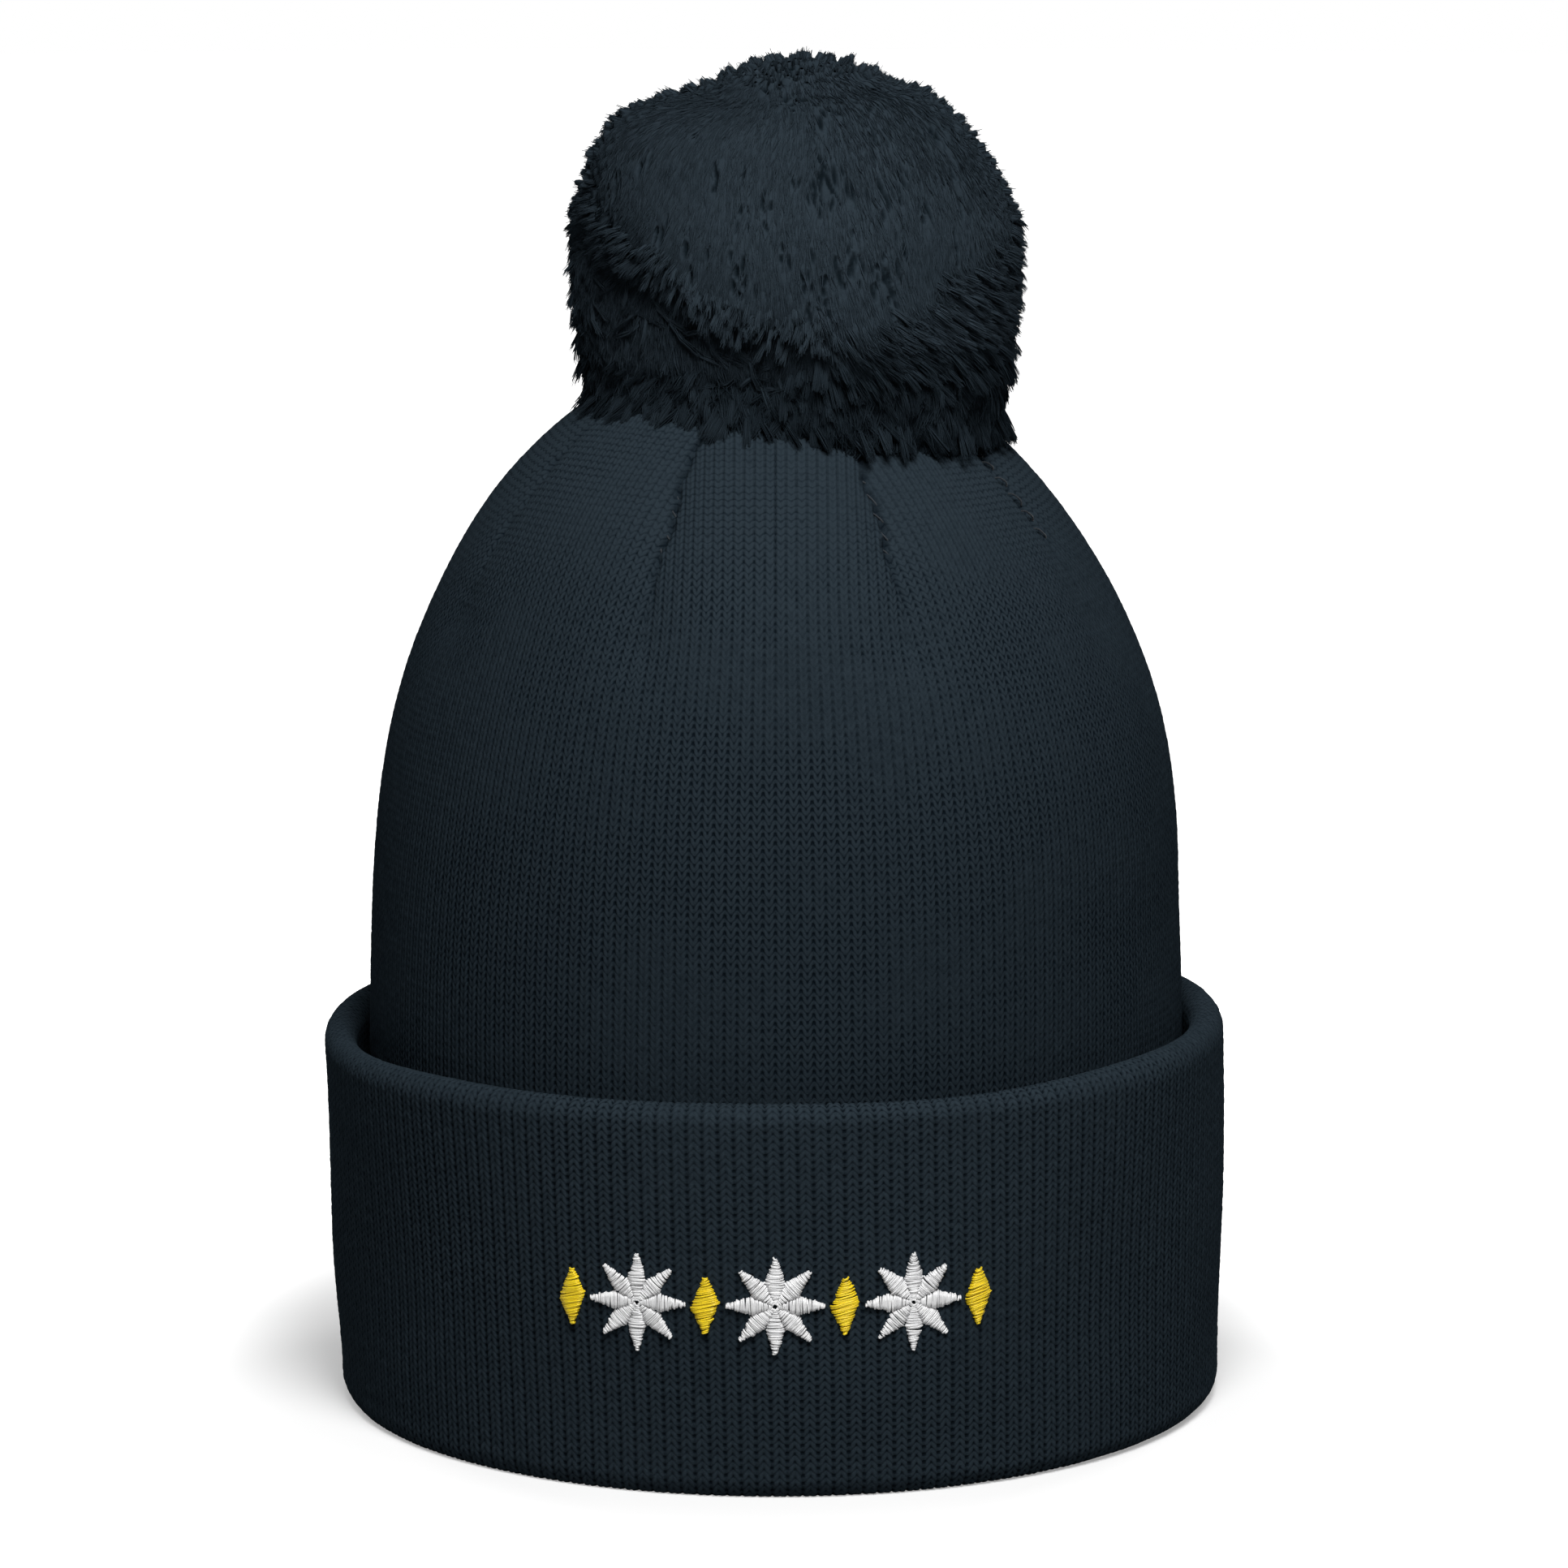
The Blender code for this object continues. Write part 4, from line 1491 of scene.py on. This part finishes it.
    def mat(self, weave: Weave) -> None:
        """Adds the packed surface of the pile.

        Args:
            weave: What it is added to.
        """
        turn = FULL_TURN * np.arange(self.columns) / self.columns
        slope = np.linspace(0.0, 1.0, self.rows)[:, None]
        drop = self.middle[2] - self.foot
        bend = drop / (drop + QUARTER_TURN * self.rise)
        over = np.sin(QUARTER_TURN * (slope - bend) / (1.0 - bend))
        height = np.where(slope < bend, slope / bend - 1.0, over)
        places = self.surface(self.way(turn, np.clip(height, -1.0, 0.99998)))
        out, parting, between = self.felt(places)
        places = self.lifted(places, out)
        # Painted shade: darker in the partings and between the yarn ends, which are also sunk.
        along = self.pile_tone - 1.10 * parting - 0.22 * between
        # Painted light: lighter in the hollow.
        along = along + self.hollow_painted_light * self.hollow(places - self.centre)
        weave.grid(places, {"along": along, "shade": 0.0 * along + 0.5}, box=(0.0, 0.0, 1.0, 0.30))

    def fur(self, weave: Weave) -> None:
        """Adds the fine loose fibres that are combed along the pile and stay out of its partings.

        Args:
            weave: What they are added to.
        """
        start = self.surface(self.scatter(self.fibres, self.rng))
        start = start[self.felt(start)[1] < 0.25]
        combed = self.flow(start)
        count, offset = len(start), start - self.centre
        turn, under = np.abs(self.turn_of(offset)), self.under(offset)
        loose = np.maximum(smooth(*self.loose_side, turn), under)
        tufted = smooth(*self.side_ends, turn) * (1.0 - under)
        length = self.rng.uniform(*self.fibre_length, count) * (1.0 - 0.5 * tufted)
        stand = np.abs(self.rng.normal(0.0, 1.0, count)) * (self.fibre_stand + self.fibre_stand * loose)
        free = self.rng.uniform(0.2, 1.0, count)
        shares = np.array([0.0, 0.35, 0.70, 1.0])
        paths = np.empty((count, len(shares), 3))
        crossed = np.zeros(count)
        for step, share in enumerate(shares):
            places = self.on_pile(start + combed * (share * length)[:, None])
            away = places - self.centre
            out, parting, _ = self.felt(places)
            crossed = np.maximum(crossed, parting)
            lift = out + self.parting_depth * parting + stand * share**2
            lift = lift - 0.0004 + 0.0005 * min(1.0, 2.5 * share)
            lift = lift + free * np.maximum(self.sunk(away) - self.sunk(offset), 0.0)
            paths[:, step] = self.lifted(places, lift)
        radii = self.fibre_radii(count)
        own = np.clip(self.rng.normal(0.5, 0.30, (count, 1)), -0.2, 1.2)
        kept = crossed < self.rng.uniform(0.05, 0.70, count)
        # Painted light: fibres in the hollow are coloured lighter too.
        along = self.pile_tone + self.hollow_painted_light * self.hollow(offset)[:, None] + 0.0 * shares
        marks = {"along": along[kept], "shade": np.repeat(own, len(shares), axis=1)[kept]}
        weave.tubes(paths[kept], radii[kept], FIBRE_SIDES, marks, (0.0, 0.30, 1.0, 0.66))

    def blunt(self) -> Strands:
        """Cut yarn ends that stand out at the sides, the back and the very top.

        Returns:
            Their roots, bends and tips.
        """
        offset = self.end_places - self.centre
        side = smooth(*self.blunt_side, np.abs(self.turn_of(offset)))
        top = smooth(*self.blunt_top, self.outward(offset)[:, 2])
        wanted = np.maximum(side, top) * (1.0 - self.under(offset))
        places = self.end_places[wanted > self.rng.uniform(0.3, 0.9, self.yarn_ends)]
        lean = self.blunt_length * unit(self.outward(places - self.centre) + 0.35 * self.flow(places))
        tips = self.lifted(places, self.rng.normal(0.0014, 0.0005, len(places)))
        return tips - lean, tips - 0.5 * lean, tips

    def brushed(self) -> Strands:
        """Tufts that stand out of the pile under its brow and fall over.

        Returns:
            Their roots, bends and tips.
        """
        places = self.surface(self.scatter(self.tufts, self.rng))
        offset = places - self.centre
        wanted = self.under(offset) * (1.0 - self.hollow(offset))
        places = places[wanted > self.rng.uniform(0.3, 0.9, self.tufts)]
        outward = self.outward(places - self.centre)
        combed = self.flow(places)
        angle = self.rng.normal(self.tuft_fall, 0.16, len(places))[:, None]
        over = outward * np.cos(angle) + combed * np.sin(angle)
        stand = np.clip(self.rng.normal(0.0009, 0.0007, len(places)), -0.0004, 0.0025)
        tips = self.lifted(places, stand)
        bends = tips - over * (0.6 * self.tuft_length)
        return bends - outward * (0.4 * self.tuft_length), bends, tips

    def wisps(self) -> Strands:
        """Thin tufts that stray over the brow on the left.

        Returns:
            Their roots, bends and tips.
        """
        count = self.stray_tufts
        turn = self.rng.uniform(*self.stray_turns, count)
        start = self.around(turn, self.brow(turn) + self.rng.uniform(-0.002, 0.006, count))
        combed = self.flow(start)
        length = self.rng.uniform(*self.stray_length, count)[:, None]
        outward = self.outward(start - self.centre)
        tips = start + combed * length + outward * self.rng.uniform(0.0002, 0.0016, count)[:, None]
        return start - outward * 0.0015, start + combed * 0.5 * length + outward * 0.0010, tips

    def hanging(self) -> Strands:
        """Single strands that hang from under the brow, across the hollow.

        Returns:
            Their roots, bends and tips.
        """
        count, foot = self.hanging_tufts, self.foot - self.middle[2]
        turn = self.rng.uniform(*self.hanging_turns, count)
        edge = np.maximum(self.brow(turn) - self.rng.uniform(0.003, 0.015, count), foot + 0.005)
        lowest = np.maximum(edge - self.rng.uniform(*self.hanging_length, count), foot + 0.0005)
        height = np.stack([edge, 0.5 * (edge + lowest), lowest], axis=-1)
        bow = self.rng.normal(0.0, 0.14, count)
        heading = np.stack([turn, turn + bow, turn + self.rng.normal(0.0, 0.12, count)], axis=-1)
        on = self.around(heading, height)
        places = self.lifted(on, np.array(self.hanging_lift) + self.rng.normal(0.0, 0.0003, (count, 1)))
        return places[:, 0], places[:, 1], places[:, 2]

    def skirt(self, turn: Array, share: Array, out: Array | float = 0.0, up: Array | float = 0.0) -> Array:
        """Places on the pile's lowest part, which turns in on to the crown.

        Args:
            turn: Turns.
            share: 0 at its top to 1 where it meets the crown.
            out: Distance off it, level.
            up: Distance off it, upward.

        Returns:
            Places.
        """
        level = 0.0 * turn
        top = self.around(turn, level + self.skirt_top - self.middle[2])
        reach = np.linalg.norm((top - self.centre)[..., :2], axis=-1) - self.skirt_inset
        bulge = 0.0008 * np.sin(23.0 * turn + 5.0 * share) * np.sin(9.0 * share + 11.0 * turn)
        reach = reach + (self.skirt_foot - reach) * np.clip(share, 0.0, 1.0) ** 1.5 + bulge
        flat = self.off_axis(turn, reach, level) + self.centre
        foot = self.crown.side_height(np.linalg.norm(flat[..., :2], axis=-1)) - self.skirt_sink
        flat[..., 2] = self.skirt_top + (foot - self.skirt_top) * share
        return flat + self.off_axis(turn, out, level + up)

    def skirt_fur(self, weave: Weave) -> None:
        """Adds the lowest part's packed surface and its fine fibres.

        Args:
            weave: What they are added to.
        """
        columns, rows = self.skirt_columns, self.skirt_rows
        around = FULL_TURN * np.arange(columns) / columns + np.zeros((rows, 1))
        share = np.linspace(0.0, 1.0, rows)[:, None] + 0.0 * around
        # Painted shade: the packed surface under the pile is coloured dark, as the shade there.
        marks = {"along": 0.0 * share + 0.30, "shade": 0.0 * share + 0.10}
        weave.grid(self.skirt(around, share), marks, flip=True, box=(0.0, 0.0, 1.0, 0.10))

        count = self.skirt_fibres
        turn = self.rng.uniform(0.0, FULL_TURN, count)
        first = self.rng.uniform(0.0, 0.85, count)
        fall = self.rng.uniform(0.25, 0.55, count)
        lean = self.rng.normal(0.0, 0.05, count)
        stand = np.abs(self.rng.normal(0.0005, 0.0005, count))
        shares = np.array([0.0, 0.4, 0.75, 1.0])
        paths = np.empty((count, len(shares), 3))
        for step, part in enumerate(shares):
            lift = -0.0003 + 0.0005 * min(1.0, 2.5 * part) + stand * part
            place = self.skirt(turn + lean * part, np.minimum(first + fall * part, 1.0))
            paths[:, step] = place + self.off_axis(turn, lift, 0.0 * turn)
        radii = self.fibre_radii(count)
        # Painted shade: its fibres are coloured dark as well.
        own = np.clip(self.rng.normal(0.05, 0.25, (count, 1)), -0.3, 1.0)
        weave.tubes(paths, radii, FIBRE_SIDES, FRINGE.marks(shares, own), (0.0, 0.10, 1.0, 0.30))

    def locks(self) -> Strands:
        """Tufts of the fringe, drawn together in locks, the longest lying out on the crown.

        Returns:
            Their roots, bends and tips.
        """
        rng, count, locks = self.rng, self.fringe_tufts, self.fringe_locks
        turn = FULL_TURN * (np.arange(count) + rng.uniform(-0.5, 0.5, count)) / count
        lock = (np.arange(count) * locks // count + rng.integers(-1, 2, count)) % locks
        drawn = np.clip(rng.normal(0.0, 1.0, (locks, 3)), -2.0, 2.0)[lock]
        swing = turn + 0.05 * drawn[:, 1] + rng.normal(0.0, 0.05, count) + 0.09 * np.sin(turn)
        ending = np.clip(rng.uniform(0.05, 0.95, count) + 0.10 * drawn[:, 0], 0.05, 0.82)
        starting = ending - rng.uniform(0.30, 0.50, count)
        roots = self.skirt(turn, starting, -0.0020)
        between = 0.5 * (turn + swing)
        bends = self.skirt(between, 0.5 * (starting + ending))
        bends = bends + self.off_axis(turn, 0.0012 + 0.0004 * drawn[:, 2], 0.0 * turn)
        on_crown = smooth(0.62, 0.80, ending) * rng.uniform(0.0, 0.0030, count)
        out = np.abs(rng.normal(0.0006, 0.0006, count)) + on_crown
        return roots, bends, self.skirt(swing, ending, out, -0.35 * on_crown)

    def fringe(self, lowest: Strands) -> None:
        """Makes the lowest strands, which lie on the crown.

        Args:
            lowest: Roots, bends and tips of the pile's lowest tufts.
        """
        weave = Weave()
        self.skirt_fur(weave)
        FRINGE.lay(weave, self.locks(), (0.30, 0.75), self.rng)
        roots, bends, tips = lowest
        drop = -UPWARD * self.rng.uniform(0.0, 0.0060, (len(tips), 1))
        FRINGE.lay(weave, (roots, bends + 0.4 * drop, tips + drop), (0.75, 1.0), self.rng)
        made = weave.piece("pom_fringe", POM_PILE)
        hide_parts("pom_skirt")
        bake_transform(made)

    def build(self) -> None:
        """Makes the pile and the fringe, and dresses the tie."""
        weave = Weave()
        self.mat(weave)
        self.fur(weave)
        BLUNT.lay(weave, self.blunt(), (0.66, 0.74), self.rng)
        tufts = self.brushed()
        lowest = tufts[2][:, 2] < self.bending
        BRUSHED.lay(weave, tuple(ends[~lowest] for ends in tufts), (0.74, 0.92), self.rng)
        HANGING.lay(weave, self.hanging(), (0.92, 0.95), self.rng)
        STRAY.lay(weave, self.wisps(), (0.95, 1.0), self.rng)
        pile = weave.piece("pom_pile", POM_PILE)
        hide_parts("pom_strands")
        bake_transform(pile)
        self.fringe(tuple(ends[lowest] for ends in tufts))
        for node in ("tie_tail", "tie_stem", "pom_binding"):
            dress_node(node, TIE_YARN)


def dress_node(node: str, finish: Finish) -> None:
    """Gives a carried-over solid its finish.

    Args:
        node: The solid's name.
        finish: What it is dressed in.
    """
    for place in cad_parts[node].material_slots:
        place.material = finish.material()
    LOG.info("%s: dressed in %s", node, finish.name)


@dataclass
class Studio:
    """White floor, soft light from high at the front, and the camera."""

    eye: Place = (0.0018, -1.5, 0.402)
    target: Place = (0.0018, 0.0, 0.1333)
    lens: float = 161.1
    sensor: float = 36.0
    key_turn: float = math.radians(9.0)
    key_lift: float = math.radians(58.0)
    key_spread: float = math.radians(26.0)
    key_strength: float = 0.95
    lamp: Place = (0.050, -0.37, 0.55)
    lamp_aim: Place = (0.0, -0.03, 0.17)
    lamp_power: float = 3.04
    back_lamps: tuple[Place, ...] = ((0.40, 0.47, 0.26), (-0.40, 0.47, 0.26))
    back_lamp_aim: Place = (0.0, 0.0, 0.15)
    back_lamp_power: float = 1.5
    lamp_size: float = 0.24
    fill: float = 0.034
    floor_tone: float = 0.67
    floor_bounce: float = 0.36
    floor_glow_near: float = 0.32
    floor_near: float = 0.098
    floor_far: float = 0.198
    floor_radius: float = 4.0
    floor_sides: int = 96

    def camera(self) -> None:
        """Sets the camera."""
        data = bpy.data.cameras.new("camera")
        data.lens = self.lens
        data.sensor_width = self.sensor
        data.sensor_fit = "HORIZONTAL"
        data.clip_end = 100.0
        made = bpy.data.objects.new("camera", data)
        look_at(made, self.eye, self.target)
        bpy.context.scene.camera = made

    def hang_lamp(self, name: str, place: Place, aim: Place, power: float) -> None:
        """Hangs one round lamp.

        Args:
            name: The lamp's name.
            place: Where it hangs.
            aim: What it is turned to.
            power: Its power.
        """
        data = bpy.data.lights.new(name, "AREA")
        data.shape = "DISK"
        data.size = self.lamp_size
        data.energy = power
        look_at(bpy.data.objects.new(name, data), place, aim)

    def light(self) -> None:
        """Sets the key light, a lamp at the front and two at the back, all close by, and the even fill."""
        data = bpy.data.lights.new("key", "SUN")
        data.angle = self.key_spread
        data.energy = self.key_strength
        level = math.cos(self.key_lift)
        source = (level * math.sin(self.key_turn), -level * math.cos(self.key_turn), math.sin(self.key_lift))
        look_at(bpy.data.objects.new("key", data), source, (0.0, 0.0, 0.0))
        self.hang_lamp("lamp", self.lamp, self.lamp_aim, self.lamp_power)
        for place in self.back_lamps:
            self.hang_lamp("back_lamp", place, self.back_lamp_aim, self.back_lamp_power)
        world = bpy.data.worlds.new("room")
        world.use_nodes = True
        bpy.context.scene.world = world
        bench = Bench(world.node_tree)
        shown = bench.mix(bench.backdrop(), (self.fill,) * 3, (1.0, 1.0, 1.0))
        back = bench.node("ShaderNodeBackground", None, {"Color": shown, "Strength": 1.0})
        bench.node("ShaderNodeOutputWorld", None, {"Surface": back})

    def floor(self) -> None:
        """Lays the floor, white where it is lit and grey where the hat shades it, with a ring of painted
        shade round the hat's foot where its glow is weakest.
        """
        sides = self.floor_sides
        turns = FULL_TURN * np.arange(sides) / sides
        mesh = bpy.data.meshes.new("floor")
        mesh.from_pydata(wrapped(self.floor_radius, 0.0 * turns, turns), [], [tuple(range(sides))])
        material, bench = new_bench("floor_paper")
        away = bench.node("ShaderNodeVectorMath", {"operation": "LENGTH"}, {0: bench.place()}, out="Value")
        # Painted shade and glow: the floor glows least near the hat and fully white farther out.
        lift = self.floor_glow_near + away.step(self.floor_near, self.floor_far) * (1.0 - self.floor_glow_near)
        lift = lift * bench.backdrop()
        bench.surface(
            Base_Color=bench.mix(bench.backdrop(), (self.floor_bounce,) * 3, (self.floor_tone,) * 3),
            Roughness=1.0,
            Specular_IOR_Level=0.0,
            Emission_Color=bench.node("ShaderNodeCombineColor", None, {0: lift, 1: lift, 2: lift}),
            Emission_Strength=1.0,
        )
        mesh.materials.append(material)
        made = bpy.data.objects.new("floor", mesh)
        bpy.context.scene.collection.objects.link(made)

    def build(self) -> None:
        """Sets the camera, the light and the floor."""
        bpy.context.scene.view_settings.view_transform = "Standard"
        self.camera()
        self.light()
        self.floor()


def main() -> None:
    """Builds the studio and dresses the hat, from the cuff up."""
    logging.basicConfig(level=logging.INFO, format="%(name)s %(message)s")
    Studio().build()
    cuff = Cuff()
    cuff.build()
    Embroidery(cuff).build()
    crown = Crown()
    crown.build()
    Pom(crown).build()


if __name__ == "__main__":
    main()
